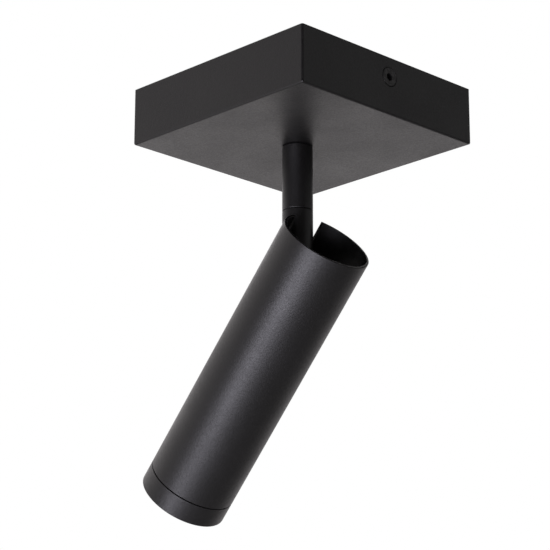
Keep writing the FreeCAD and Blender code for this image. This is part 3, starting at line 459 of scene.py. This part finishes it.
class Shader(NodeGraph):
    """A Principled material whose patterns all read Object coordinates."""

    def __init__(self, name):
        self.material = bpy.data.materials.new(name)
        super().__init__(self.material)
        self.surface = self.nodes["Principled BSDF"]
        self.place = self.add("TexCoord").outputs["Object"]

    def set(self, **values):
        """Sets or joins the surface's inputs, with _ for each space in their names."""
        for name, value in values.items():
            self.put(self.surface.inputs[name.replace("_", " ")], value)
        return self.material

    def mapped(self, scale, turn=(0, 0, 0)):
        inputs = {"Vector": self.place, "Scale": scale, "Rotation": turn}
        return self.add("Mapping", inputs).outputs["Vector"]

    def noise(self, size, detail=3.0, rough=0.55, vector=None):
        """Noise whose patches are about `size` metres across."""
        inputs = {"Vector": vector or self.place, "Scale": 1 / size, "Detail": detail,
                  "Roughness": rough}
        return self.add("TexNoise", inputs).outputs["Fac"]

    def cells(self, size):
        """Distance to the nearest of many points that lie about `size` metres apart."""
        inputs = {"Vector": self.place, "Scale": 1 / size}
        return self.add("TexVoronoi", inputs).outputs["Distance"]

    def bump(self, height, depth, before=None):
        inputs = {"Strength": 1.0, "Distance": depth, "Height": height}
        if before is not None:
            inputs["Normal"] = before
        return self.add("Bump", inputs).outputs["Normal"]


def dimmed(tone, share):
    return tuple(channel * share for channel in tone)


def powder_coat(name, coat):
    """Satin black powder coat: fine grain, flow ripple, pale specks and a little handling haze."""
    haze_size = 40 * MM
    speck_spacing, speck_radius, speck_share = 1.3, 0.16, 0.55
    shader = Shader(name)
    grain = shader.noise(coat.grain, detail=2.0, rough=0.5)
    specks = shader.spread(shader.cells(coat.grain * speck_spacing), 1.0, 0.0,
                           low=0.0, high=speck_radius)
    base = shader.blend(shader.spread(grain, low=0.35),
                        dimmed(coat.colour, 0.8), dimmed(coat.colour, 1.3))
    haze = shader.spread(shader.noise(haze_size), coat.roughness - 0.03, coat.roughness + 0.04)
    waves = shader.bump(shader.noise(coat.ripple, detail=2.0), coat.ripple_depth)
    return shader.set(
        Specular_IOR_Level=0.5, IOR=1.5,
        Base_Color=shader.blend(shader.maths("MULTIPLY", specks, speck_share), base, coat.speck),
        Roughness=shader.maths("ADD", haze, shader.spread(grain, -0.05, 0.06)),
        Normal=shader.bump(grain, coat.grain_depth, waves))


def zinc_plate(name, zinc):
    """Bright zinc plate with the sheet's rolled lines and cloudy passivation."""
    rolled = (0.04, 1.0, 1.0)
    shader = Shader(name)
    lines = shader.noise(1.2 * MM, detail=4.0, vector=shader.mapped(rolled))
    clouds = shader.spread(shader.noise(9 * MM))
    spangle = shader.spread(shader.cells(2.4 * MM), 0.0, 0.25, low=0.2, high=0.9)
    tone = shader.blend(clouds, dimmed(zinc, 0.82), zinc)
    return shader.set(Metallic=1.0, Base_Color=shader.blend(spangle, tone, dimmed(zinc, 0.7)),
                      Roughness=shader.spread(lines, 0.28, 0.42),
                      Normal=shader.bump(lines, 0.006 * MM))


def worn_metal(name, tone, patch, detail, band, shares, roughness, grain, depth, metallic=1.0):
    """Metal whose colour and polish drift over patches, with a fine grain in relief.

    The noise goes through its band from the first share of the colour to the second.
    """
    shader = Shader(name)
    worn = shader.noise(patch, detail=detail)
    first, second = (dimmed(tone, share) for share in shares)
    drift = shader.spread(worn, low=band[0], high=band[1])
    return shader.set(Metallic=metallic, Base_Color=shader.blend(drift, first, second),
                      Roughness=shader.spread(worn, *roughness),
                      Normal=shader.bump(shader.noise(grain), depth))


def moulded(name, tone, roughness, depth=0.006 * MM, coat=0.0):
    """Moulded plastic or rubber with a fine spark-eroded grain and slow shading."""
    cloud_size, grain_size = 12 * MM, 0.35 * MM
    shader = Shader(name)
    clouds = shader.spread(shader.noise(cloud_size))
    grain = shader.noise(grain_size)
    return shader.set(Coat_Weight=coat, Coat_Roughness=0.15,
                      Base_Color=shader.blend(clouds, dimmed(tone, 0.9), tone),
                      Roughness=shader.spread(grain, roughness - 0.05, roughness + 0.07),
                      Normal=shader.bump(grain, depth))


def unglazed_ceramic(name, tone):
    """Pressed ceramic with pores and a few darker grains."""
    pore_size, grain_size = 0.9 * MM, 0.6 * MM
    shader = Shader(name)
    pores = shader.spread(shader.cells(pore_size), low=0.0, high=0.3)
    grains = shader.spread(shader.noise(grain_size, detail=4.0), low=0.55, high=0.75)
    return shader.set(Base_Color=shader.blend(grains, tone, dimmed(tone, 0.72)),
                      Roughness=shader.spread(pores, 0.85, 0.68, low=0.0, high=1.0),
                      Normal=shader.bump(pores, 0.02 * MM))


def striped_sheath(name, green, yellow):
    """Earth lead: green with a yellow stripe that winds slowly round it."""
    winding = (0, 0, 0.22)
    shader = Shader(name)
    inputs = {"Vector": shader.mapped((1, 1, 1), winding), "Scale": 160, "Distortion": 0.4}
    wave = shader.add("TexWave", inputs, bands_direction="Y").outputs["Fac"]
    stripe = shader.spread(wave, low=0.46, high=0.54)
    return shader.set(Base_Color=shader.blend(stripe, green, yellow),
                      Roughness=shader.spread(shader.noise(0.6 * MM), 0.42, 0.55),
                      Normal=shader.bump(shader.noise(0.4 * MM), 0.006 * MM))


def clear_glass(name, tone, roughness, dimple=0.0):
    """Clear glass with slight waviness, or a dimpled lens where dimple is a size."""
    shader = Shader(name)
    if dimple:
        relief = shader.bump(shader.cells(dimple), 0.35 * MM)
    else:
        relief = shader.bump(shader.noise(9 * MM, detail=1.0), 0.01 * MM)
    haze = shader.spread(shader.noise(6 * MM), roughness, roughness + 0.02)
    return shader.set(Base_Color=tone, Transmission_Weight=1.0, IOR=1.5, Roughness=haze,
                      Normal=relief)


def light_phosphor(name, tone):
    """Unlit phosphor: matt yellow with a grain."""
    shader = Shader(name)
    grain = shader.noise(0.25 * MM)
    drift = shader.spread(grain, low=0.35)
    return shader.set(Base_Color=shader.blend(drift, tone, dimmed(tone, 0.8)),
                      Roughness=shader.spread(grain, 0.55, 0.7),
                      Normal=shader.bump(grain, 0.01 * MM))


def material(finish):
    """One of this object's finishes, made when it is first asked for."""
    name = f"{finish}_finish"
    if name in bpy.data.materials:
        return bpy.data.materials[name]
    scene = bpy.context.scene
    metal = scene.spotlight_metal
    plastic = scene.spotlight_plastic
    makers = {
        "black_coat": lambda: powder_coat(name, scene.spotlight_coat),
        "zinc_steel": lambda: zinc_plate(name, metal.zinc),
        "black_steel": lambda: worn_metal(
            name, metal.black_oxide, patch=1.8 * MM, detail=5.0, band=(0.45, 0.75),
            shares=(1, 2.4), roughness=(0.30, 0.44), grain=0.3 * MM, depth=0.008 * MM,
            metallic=0.9),
        "brass": lambda: worn_metal(
            name, metal.brass, patch=2 * MM, detail=4.0, band=(0.4, 0.75), shares=(1, 0.6),
            roughness=(0.22, 0.4), grain=0.25 * MM, depth=0.005 * MM),
        "reflector_coat": lambda: worn_metal(
            name, metal.mirror, patch=5 * MM, detail=3.0, band=(MIDDLE_LOW, MIDDLE_HIGH),
            shares=(0.93, 1), roughness=(0.06, 0.14), grain=1.5 * MM, depth=0.004 * MM),
        "white_plastic": lambda: moulded(name, plastic.block, 0.5),
        "lamp_shell": lambda: moulded(name, plastic.shell, 0.28, coat=0.3),
        "washer_plastic": lambda: moulded(name, plastic.washer, 0.45),
        "black_rubber": lambda: moulded(name, plastic.rubber, 0.62, depth=0.01 * MM),
        "lead_sheath": lambda: moulded(name, plastic.sheath, 0.42),
        "ceramic": lambda: unglazed_ceramic(name, plastic.ceramic),
        "phosphor": lambda: light_phosphor(name, plastic.phosphor),
        "earth_sheath": lambda: striped_sheath(name, plastic.earth_green, plastic.earth_yellow),
        "clear_glass": lambda: clear_glass(name, plastic.glass, 0.01),
        "lens_glass": lambda: clear_glass(name, plastic.glass, 0.05, dimple=2.6 * MM),
    }
    return makers[finish]()


# --- pieces --------------------------------------------------------------------------------------

def screw_height():
    return (SCREWS_LOW.z + SCREWS_HIGH.z) / 2


def screw_frame(side, face):
    """On the canopy's side face, with Z going out of it. The side is 1 or -1."""
    place = Matrix.Translation((side * face, 0, screw_height()))
    return place @ Matrix.Rotation(side * math.pi / 2, 4, "Y")


def countersink_cutter(shape, side):
    """A closed turned tool for one side screw's hole, from outside the wall to inside it."""
    clearance = 0.2 * MM
    mouth = shape.screw_head + shape.screw_gap
    hole = shape.screw_thread + clearance
    inside = -3 * shape.canopy_wall
    outline = [(0, PAST), (mouth, PAST), (mouth, 0), (hole, hole - mouth), (hole, inside),
               (0, inside)]
    tool = turned(outline, RIM_STEPS, closed=False)
    bmesh.ops.transform(tool, matrix=screw_frame(side, CANOPY_HIGH.x), verts=tool.verts)
    return tool


def make_canopy(shape):
    """Square canopy: a soft-cornered box, open at the ceiling, with two countersunk holes."""
    mesh = box_between(CANOPY_LOW, CANOPY_HIGH)
    upright = [edge for edge in mesh.edges
               if abs(edge.verts[0].co.z - edge.verts[1].co.z) > ON_FACE]
    round_edges(mesh, upright, shape.canopy_corner, steps=8)
    lower = [edge for edge in mesh.edges
             if all(abs(v.co.z - CANOPY_LOW.z) < ON_FACE for v in edge.verts)]
    round_edges(mesh, lower, shape.canopy_edge, steps=6)
    wall = Vector((shape.canopy_wall,) * 3)
    through_ceiling = Vector((0, 0, 3 * shape.canopy_wall))
    mesh = combined(mesh, box_between(CANOPY_LOW + wall, CANOPY_HIGH - wall + through_ceiling))
    for side in (1, -1):
        mesh = combined(mesh, countersink_cutter(shape, side))
    radius = shape.spigot_radius
    low = CANOPY_LOW.z - PAST
    high = CANOPY_LOW.z + 2 * shape.canopy_wall
    hole = turned([(0, low), (radius, low), (radius, high), (0, high)], HOLE_STEPS, closed=False)
    bmesh.ops.translate(hole, vec=(PIVOT.x, PIVOT.y, 0), verts=hole.verts)
    mesh = combined(mesh, hole)
    mouth = shape.screw_head + shape.screw_gap

    def on_mouth(edge):
        return all(abs(abs(v.co.x) - CANOPY_HIGH.x) < ON_FACE
                   and abs(math.hypot(v.co.y, v.co.z - screw_height()) - mouth) < ON_RIM
                   for v in edge.verts)

    round_edges(mesh, sharp_edges(mesh, on_mouth), shape.fine_edge, steps=2)
    finish_mesh(mesh, "canopy", Matrix(), "black_coat", "base", ["canopy_cover"])


def threaded(radius, low, high, pitch, depth):
    """An outline of (radius, height) going up a thread drawn as close grooves."""
    crest_start, crest_end = 0.35, 0.65
    count = max(1, int((high - low) / pitch))
    points = []
    for turn in range(count):
        start = low + turn * pitch
        points += [(radius - depth, start), (radius, start + pitch * crest_start),
                   (radius, start + pitch * crest_end)]
    points.append((radius - depth, low + count * pitch))
    return points


def make_side_screws(shape):
    """Two countersunk screws with hexagon sockets, thread and broken edges."""
    length = 12 * MM
    land = 0.2 * MM
    groove = 0.5 * MM
    runout = 0.6 * MM
    undercut, undercut_low = 0.3 * MM, 0.4 * MM
    head = shape.screw_head
    shank = shape.screw_thread
    neck = -(land + head - shank)
    outline = [(0, -length)] + threaded(shank, -length, neck - runout, shape.thread_pitch, groove)
    outline += [(shank - undercut, neck - undercut_low), (shank, neck), (head, -land)]
    outline += rounded([(head, -land), (head, 0), (0, 0)], [0, shape.fine_edge, 0])[1:]
    socket = circle(shape.screw_socket / math.sqrt(3), 6)

    def on_socket(edge):
        return all(abs(v.co.z) < ON_FACE and v.co.xy.length < shape.screw_socket * 0.6
                   for v in edge.verts)

    both = bmesh.new()
    for side in (1, -1):
        mesh = combined(turned(outline, SCREW_STEPS, closed=False),
                        prism(socket, -shape.socket_depth, PAST))
        round_edges(mesh, sharp_edges(mesh, on_socket), shape.fine_edge * 2, steps=1)
        bmesh.ops.transform(mesh, matrix=screw_frame(side, SCREWS_HIGH.x), verts=mesh.verts)
        data = bpy.data.meshes.new("screw")
        mesh.to_mesh(data)
        mesh.free()
        both.from_mesh(data)
        bpy.data.meshes.remove(data)
    finish_mesh(both, "side_screws", Matrix(), "black_steel", "base", ["canopy_screws"])


def make_stem_sleeve(shape):
    """Fixed upper half of the stem: its spigot in the canopy, and broken edges at both seams."""
    radius = (SLEEVE_HIGH.x - SLEEVE_LOW.x) / 2
    shoulder = CANOPY_LOW.z
    outline = [(shape.sleeve_bore, SLEEVE_LOW.z), (radius, SLEEVE_LOW.z), (radius, shoulder),
               (shape.sleeve_spigot, shoulder), (shape.sleeve_spigot, SLEEVE_HIGH.z),
               (shape.sleeve_bore, SLEEVE_HIGH.z)]
    edge = shape.soft_edge
    radii = [edge / 2, edge * 1.3, edge * 3, 0, edge / 2, 0]
    mesh = turned(rounded(outline, radii), shape.round_steps)
    place = Matrix.Translation((PIVOT.x, PIVOT.y, 0))
    finish_mesh(mesh, "sleeve", place, "black_coat", "base", ["stem_sleeve"])


def make_knuckle(shape):
    """Turning lower half of the stem: a round neck that narrows to a flat tongue on the pivot."""
    tongue_half = 5 * MM
    pivot_bore, lead_bore, shaft_bore = 3.05 * MM, 3.5 * MM, 5.03 * MM
    high = local_box("knuckle", STEM)[1]
    radius = high.x
    shoulder = PIVOT.z + radius + 1.5 * MM
    lead_floor = PIVOT.z + 20 * MM
    shaft_floor = high.z - 12 * MM
    outline = [(0, shoulder), (radius, shoulder), (radius, high.z), (0, high.z)]
    radii = [0, 0, shape.soft_edge * 1.3, 0]
    neck = turned(rounded(outline, radii), shape.round_steps, closed=False)
    upright = Matrix.Translation((0, 0, PIVOT.z)) @ Matrix.Rotation(math.pi / 2, 4, "X")
    top = shoulder - PIVOT.z + PAST
    blade = prism(half_circle(radius, BORE_STEPS) + [(radius, top), (-radius, top)],
                  -tongue_half, tongue_half, upright)
    mesh = combined(neck, blade, "UNION")
    mesh = combined(mesh, prism(circle(pivot_bore, BORE_STEPS), -radius * 2, radius * 2, upright))
    sideways = Matrix.Translation((0, 0, lead_floor)) @ Matrix.Rotation(math.pi / 2, 4, "Y")
    mesh = combined(mesh, prism(circle(lead_bore, BORE_STEPS), 0, radius * 2, sideways))
    well = turned([(0, lead_floor), (lead_bore, lead_floor), (lead_bore, shaft_floor),
                   (shaft_bore, shaft_floor), (shaft_bore, high.z + PAST), (0, high.z + PAST)],
                  HOLE_STEPS, closed=False)
    mesh = combined(mesh, well)
    round_edges(mesh, sharp_edges(mesh, angle=40), shape.fine_edge, steps=2)
    finish_mesh(mesh, "knuckle_body", STEM, "black_coat", "stem_swivel", ["knuckle"])


def make_head_tube(shape):
    """Long tube with soft rims and the slot that the stem swings through."""
    radius = TUBE_HIGH.y
    inner = radius - shape.tube_wall
    edge = shape.soft_edge
    outline = [(radius, TUBE_LOW.z), (radius, TUBE_HIGH.z), (inner, TUBE_HIGH.z),
               (inner, TUBE_LOW.z)]
    radii = [edge, edge * 1.6, edge * 1.2, edge / 2]
    mesh = turned(rounded(outline, radii), shape.round_steps)
    half = shape.slot_half
    top = TUBE_HIGH.z + 5 * PAST
    near_axis = 2 * MM
    lie = Matrix.Rotation(-math.pi / 2, 4, "Y") @ Matrix.Rotation(-math.pi / 2, 4, "Z")
    slot = prism(half_circle(half, SLOT_STEPS) + [(half, top), (-half, top)],
                 near_axis, radius * 1.5, lie)
    mesh = combined(mesh, slot)

    def on_slot(slot_edge):
        return all(v.co.x < 0 and v.co.z > -half - 2 * ON_RIM and abs(v.co.y) < half + ON_RIM
                   for v in slot_edge.verts)

    round_edges(mesh, sharp_edges(mesh, on_slot, angle=50), edge * 0.8, steps=3)
    finish_mesh(mesh, "tube", HEAD, "black_coat", "head", ["head_tube"])


def make_front_ring(shape):
    """Screwed front ring: lip with rounded edges, threaded spigot and the glass seat."""
    radius = RING_HIGH.y - shape.skin
    front = RING_LOW.z + shape.skin
    shoulder = RING_LOW.z + shape.ring_lip
    spigot = TUBE_HIGH.y - shape.tube_wall - FIT_GAP
    top = RING_HIGH.z
    seat_floor = GLASS_LOW.z - FIT_GAP
    edge = shape.soft_edge
    relief = spigot - shape.ring_thread_depth
    lip = [(shape.ring_bore, seat_floor), (shape.ring_bore, front), (radius, front),
           (radius, shoulder), (relief, shoulder)]
    lip = rounded(lip, [0, edge * 2.5, edge * 1.6, edge, 0])
    thread_start = shoulder + shape.ring_pitch * 0.8
    thread = threaded(spigot, thread_start, top, shape.ring_pitch, shape.ring_thread_depth)
    seat = [(relief, top), (shape.ring_seat, top), (shape.ring_seat, seat_floor)]
    mesh = turned(lip + thread + seat, shape.round_steps)
    finish_mesh(mesh, "ring", HEAD, "black_coat", "screw_ring", ["front_ring"])


def disc(low, high, low_edge, high_edge, rounding, steps):
    """A flat round disc between two heights, with its lower and upper edge broken."""
    radius = high.y
    outline = [(0, low.z), (radius, low.z), (radius, high.z), (0, high.z)]
    return turned(rounded(outline, [0, low_edge, high_edge, 0], rounding), steps, closed=False)


def make_front_glass(shape):
    """Clear front glass with ground edges."""
    ground = 0.35 * MM
    mesh = disc(GLASS_LOW, GLASS_HIGH, ground, ground, 1, shape.round_steps)
    finish_mesh(mesh, "glass", HEAD, "clear_glass", "glass_carrier", ["front_glass"])


def make_lamp():
    """Reflector lamp: waisted shell, faceted reflector and dimpled lens."""
    wall = 1.8 * MM
    throat = 5.05 * MM
    neck_radius, neck_length = 11.5 * MM, 10 * MM
    waist_inset, waist_height, rim_height = 2.2 * MM, 14 * MM, 8 * MM
    bowl_steps, bowl_power = 6, 1.15
    lift, foil = 0.12 * MM, 0.05 * MM

    rim = SHELL_HIGH.y
    low, high = SHELL_LOW.z, SHELL_HIGH.z
    lens_seat = LENS_HIGH.z + FIT_GAP
    source = SOURCE_HIGH.z + FIT_GAP
    inner = rim - 2 * wall
    shares = [step / bowl_steps for step in range(bowl_steps + 1)]
    bowl = [(throat + (inner - throat) * math.sqrt(share),
             source + (lens_seat - source) * share ** bowl_power) for share in shares]
    outline = [(0, high), (neck_radius, high), (neck_radius, high - neck_length),
               (rim - waist_inset, low + waist_height), (rim, low + rim_height), (rim, low),
               (rim - wall, low), (rim - wall, lens_seat)]
    radii = [0, 0.8 * MM, 2 * MM, 5 * MM, 1.5 * MM, 0.4 * MM, 0.2 * MM, 0]
    inside = [(inner, lens_seat)] + bowl[-2::-1] + [(0, source)]
    mesh = turned(rounded(outline, radii) + inside, RIM_STEPS, closed=False)
    finish_mesh(mesh, "lamp", HEAD, "lamp_shell", "head", ["lamp_body"], smooth_angle=24)

    facets = turned([(radius - lift, height - lift * 0.5) for radius, height in bowl],
                    REFLECTOR_FACETS, closed=False)
    bmesh.ops.reverse_faces(facets, faces=facets.faces)
    reflector = finish_mesh(facets, "reflector", HEAD, "reflector_coat", "head", [],
                            slot="lamp_shell", smooth_angle=1)
    thick = reflector.modifiers.new("foil", "SOLIDIFY")
    thick.thickness = foil
    thick.offset = 0

    lens = disc(LENS_LOW, LENS_HIGH, 0.3 * MM, 0.2 * MM, 4, RIM_STEPS)
    finish_mesh(lens, "lens", HEAD, "lens_glass", "head", ["lamp_lens"], slot="clear_glass")


CARRIED_OVER = {
    "zinc_steel": ("ceiling_bracket", "ledge_ring", "clinch_nuts", "earth_screw", "standoffs",
                   "holder_plate", "plate_screws", "holder_screws", "bracket_screws",
                   "block_screws", "pivot_nut", "pivot_spring_washer", "swivel_nuts",
                   "stop_washer", "stop_pin", "swivel_shaft"),
    "black_steel": ("pivot_bolt", "glass_clip", "tilt_bracket"),
    "brass": ("terminal_screws", "earth_tag", "lamp_pins"),
    "white_plastic": ("terminal_block",),
    "ceramic": ("lamp_holder",),
    "phosphor": ("light_source",),
    "washer_plastic": ("swivel_washer", "tilt_washers"),
    "black_rubber": ("lead_grommet",),
    "lead_sheath": ("supply_lead", "lamp_lead"),
    "earth_sheath": ("earth_lead",),
}


def dress_hardware(shape):
    """Gives the carried-over CAD pieces their finish and broken edges."""
    for finish, names in CARRIED_OVER.items():
        for name in names:
            piece = NODES[name]
            piece.data.materials.clear()
            piece.data.materials.append(material(finish))
            weld = piece.modifiers.new("weld", "WELD")
            weld.merge_threshold = 2 * MERGE
            flat = piece.modifiers.new("flat", "DECIMATE")
            flat.decimate_type = "DISSOLVE"
            flat.angle_limit = math.radians(1)
            edge = piece.modifiers.new("edge", "BEVEL")
            edge.width = shape.fine_edge
            edge.segments = 2
            edge.limit_method = "ANGLE"
            edge.angle_limit = math.radians(40)


# --- stage ---------------------------------------------------------------------------------------

def make_camera(stage):
    camera = bpy.data.objects.new("camera", bpy.data.cameras.new("camera"))
    bpy.context.scene.collection.objects.link(camera)
    camera.data.sensor_width = 36
    camera.data.lens = stage.lens
    camera.data.clip_start = 0.05
    camera.data.clip_end = 200
    turn = (Matrix.Rotation(stage.heading, 4, "Z")
            @ Matrix.Rotation(math.pi / 2 + stage.rise, 4, "X")
            @ Matrix.Rotation(stage.roll, 4, "Z"))
    camera.matrix_world = Matrix.Translation(stage.camera_place) @ turn
    bpy.context.scene.camera = camera


def make_floor(stage):
    """A pale floor that fades out at its rim, and that views from below look through."""
    mesh = bmesh.new()
    bmesh.ops.create_circle(mesh, cap_ends=True, segments=RIM_STEPS, radius=stage.floor_reach)
    bmesh.ops.translate(mesh, vec=(0, 0, -stage.floor_drop), verts=mesh.verts)
    floor = with_mesh(mesh, "floor")
    shader = Shader("pale_floor")
    cloud_size = 0.4
    tone = shader.blend(shader.noise(cloud_size, detail=2.0),
                        dimmed(stage.floor_colour, 0.98), stage.floor_colour)
    glow = shader.maths("MULTIPLY", shader.seen(), stage.floor_glow)
    shader.set(Roughness=0.9, Specular_IOR_Level=0.1, Base_Color=tone, Emission_Color=WHITE,
               Emission_Strength=glow)
    distance = shader.add("VectorMath", {0: shader.mapped((1, 1, 0))}, operation="LENGTH")
    fade = shader.spread(distance.outputs["Value"], low=stage.floor_solid, high=stage.floor_reach)
    back = shader.add("NewGeometry").outputs["Backfacing"]
    clear = shader.add("BsdfTransparent").outputs["BSDF"]
    sides = shader.add("MixShader", {0: shader.maths("MAXIMUM", fade, back),
                                     1: shader.surface.outputs["BSDF"], 2: clear})
    output = next(node for node in shader.nodes if node.type == "OUTPUT_MATERIAL")
    shader.put(output.inputs["Surface"], sides.outputs["Shader"])
    floor.data.materials.append(shader.material)


def make_world(stage):
    """White to the camera and glass; as light, a soft studio that is brighter on one side."""
    world = bpy.data.worlds.new("studio")
    bpy.context.scene.world = world
    graph = NodeGraph(world)
    direction = graph.add("TexCoord").outputs["Generated"]
    facing = graph.add("VectorMath", {0: direction, 1: Vector(stage.bright_side).normalized()},
                       operation="DOT_PRODUCT")
    studio = graph.spread(facing.outputs["Value"], stage.studio_low, stage.studio_high,
                          low=stage.studio_start, high=stage.studio_end, curve="SMOOTHSTEP")
    seen = graph.seen()
    strength = graph.add("Mix", {"Factor": seen, NUMBER_A: studio, NUMBER_B: 1.0})
    background = graph.nodes["Background"].inputs
    graph.put(background["Strength"], strength.outputs[NUMBER_OUT])
    graph.put(background["Color"], graph.blend(seen, stage.studio_colour, WHITE))


def softbox(name, place, target, width, height, watts, tone=WHITE):
    """A rectangular lamp that faces its target and that the camera doesn't see."""
    data = bpy.data.lights.new(name, "AREA")
    data.shape = "RECTANGLE"
    data.size = width
    data.size_y = height
    data.energy = watts
    data.color = tone
    light = bpy.data.objects.new(name, data)
    bpy.context.scene.collection.objects.link(light)
    turn = (target - place).to_track_quat("-Z", "Y").to_matrix().to_4x4()
    light.matrix_world = Matrix.Translation(place) @ turn
    light.visible_camera = False


def make_lights(stage):
    middle = (CAD_BOX[0] + CAD_BOX[1]) / 2
    key = middle + Vector(stage.key_side).normalized() * stage.key_distance
    softbox("key_softbox", key, middle, stage.key_length, stage.key_width, stage.key_power,
            stage.key_colour)
    fill = middle + Vector(stage.fill_side).normalized() * stage.key_distance
    softbox("fill_softbox", fill, middle, stage.key_width, stage.key_width, stage.fill_power)
    top = middle + Vector(stage.top_offset)
    softbox("top_softbox", top, middle, stage.top_width, stage.top_width, stage.top_power)


# --- operators and panel -------------------------------------------------------------------------

class SPOTLIGHT_OT_stage(bpy.types.Operator):
    """Makes the camera, the pale floor, the white studio and its softboxes"""

    bl_idname = "spotlight.stage"
    bl_label = "Stage"

    def execute(self, context):
        stage = context.scene.spotlight_stage
        context.scene.view_settings.view_transform = "Standard"
        make_camera(stage)
        make_floor(stage)
        make_world(stage)
        make_lights(stage)
        return {"FINISHED"}


class SPOTLIGHT_OT_canopy(bpy.types.Operator):
    """Makes the square canopy"""

    bl_idname = "spotlight.canopy"
    bl_label = "Canopy"

    def execute(self, context):
        make_canopy(context.scene.spotlight_shape)
        return {"FINISHED"}


class SPOTLIGHT_OT_side_screws(bpy.types.Operator):
    """Makes the two side screws"""

    bl_idname = "spotlight.side_screws"
    bl_label = "Side Screws"

    def execute(self, context):
        make_side_screws(context.scene.spotlight_shape)
        return {"FINISHED"}


class SPOTLIGHT_OT_stem(bpy.types.Operator):
    """Makes the stem's sleeve and knuckle"""

    bl_idname = "spotlight.stem"
    bl_label = "Stem"

    def execute(self, context):
        make_stem_sleeve(context.scene.spotlight_shape)
        make_knuckle(context.scene.spotlight_shape)
        return {"FINISHED"}


class SPOTLIGHT_OT_head(bpy.types.Operator):
    """Makes the slotted head tube"""

    bl_idname = "spotlight.head"
    bl_label = "Head Tube"

    def execute(self, context):
        make_head_tube(context.scene.spotlight_shape)
        return {"FINISHED"}


class SPOTLIGHT_OT_front(bpy.types.Operator):
    """Makes the front ring and its glass"""

    bl_idname = "spotlight.front"
    bl_label = "Front Ring"

    def execute(self, context):
        make_front_ring(context.scene.spotlight_shape)
        make_front_glass(context.scene.spotlight_shape)
        return {"FINISHED"}


class SPOTLIGHT_OT_lamp(bpy.types.Operator):
    """Makes the reflector lamp"""

    bl_idname = "spotlight.lamp"
    bl_label = "Lamp"

    def execute(self, context):
        make_lamp()
        return {"FINISHED"}


class SPOTLIGHT_OT_hardware(bpy.types.Operator):
    """Finishes the bracket, fasteners, terminals, leads and lamp holder"""

    bl_idname = "spotlight.hardware"
    bl_label = "Hardware"

    def execute(self, context):
        dress_hardware(context.scene.spotlight_shape)
        return {"FINISHED"}


OPERATORS = (SPOTLIGHT_OT_stage, SPOTLIGHT_OT_canopy, SPOTLIGHT_OT_side_screws, SPOTLIGHT_OT_stem,
             SPOTLIGHT_OT_head, SPOTLIGHT_OT_front, SPOTLIGHT_OT_lamp, SPOTLIGHT_OT_hardware)


class SPOTLIGHT_PT_panel(bpy.types.Panel):
    """Lists the spotlight's operators and settings"""

    bl_idname = "SPOTLIGHT_PT_panel"
    bl_label = "Ceiling Spotlight"
    bl_space_type = "VIEW_3D"
    bl_region_type = "UI"
    bl_category = "Spotlight"

    def draw(self, context):
        for operator in OPERATORS:
            self.layout.operator(operator.bl_idname)
        for name in SETTINGS:
            settings = getattr(context.scene, name)
            box = self.layout.box()
            for prop in settings.bl_rna.properties:
                if prop.identifier not in {"rna_type", "name"}:
                    box.prop(settings, prop.identifier)


SETTINGS = {
    "spotlight_shape": SpotlightShapeSettings,
    "spotlight_coat": SpotlightCoatSettings,
    "spotlight_metal": SpotlightMetalSettings,
    "spotlight_plastic": SpotlightPlasticSettings,
    "spotlight_stage": SpotlightStageSettings,
}


def register():
    for name, settings in SETTINGS.items():
        bpy.utils.register_class(settings)
        setattr(bpy.types.Scene, name, PointerProperty(type=settings))
    for operator in OPERATORS:
        bpy.utils.register_class(operator)
    bpy.utils.register_class(SPOTLIGHT_PT_panel)


def unregister():
    bpy.utils.unregister_class(SPOTLIGHT_PT_panel)
    for operator in reversed(OPERATORS):
        bpy.utils.unregister_class(operator)
    for name, settings in SETTINGS.items():
        delattr(bpy.types.Scene, name)
        bpy.utils.unregister_class(settings)


def main():
    register()
    bpy.ops.spotlight.stage()
    bpy.ops.spotlight.canopy()
    bpy.ops.spotlight.side_screws()
    bpy.ops.spotlight.stem()
    bpy.ops.spotlight.head()
    bpy.ops.spotlight.front()
    bpy.ops.spotlight.lamp()
    bpy.ops.spotlight.hardware()


if __name__ == "__main__":
    main()
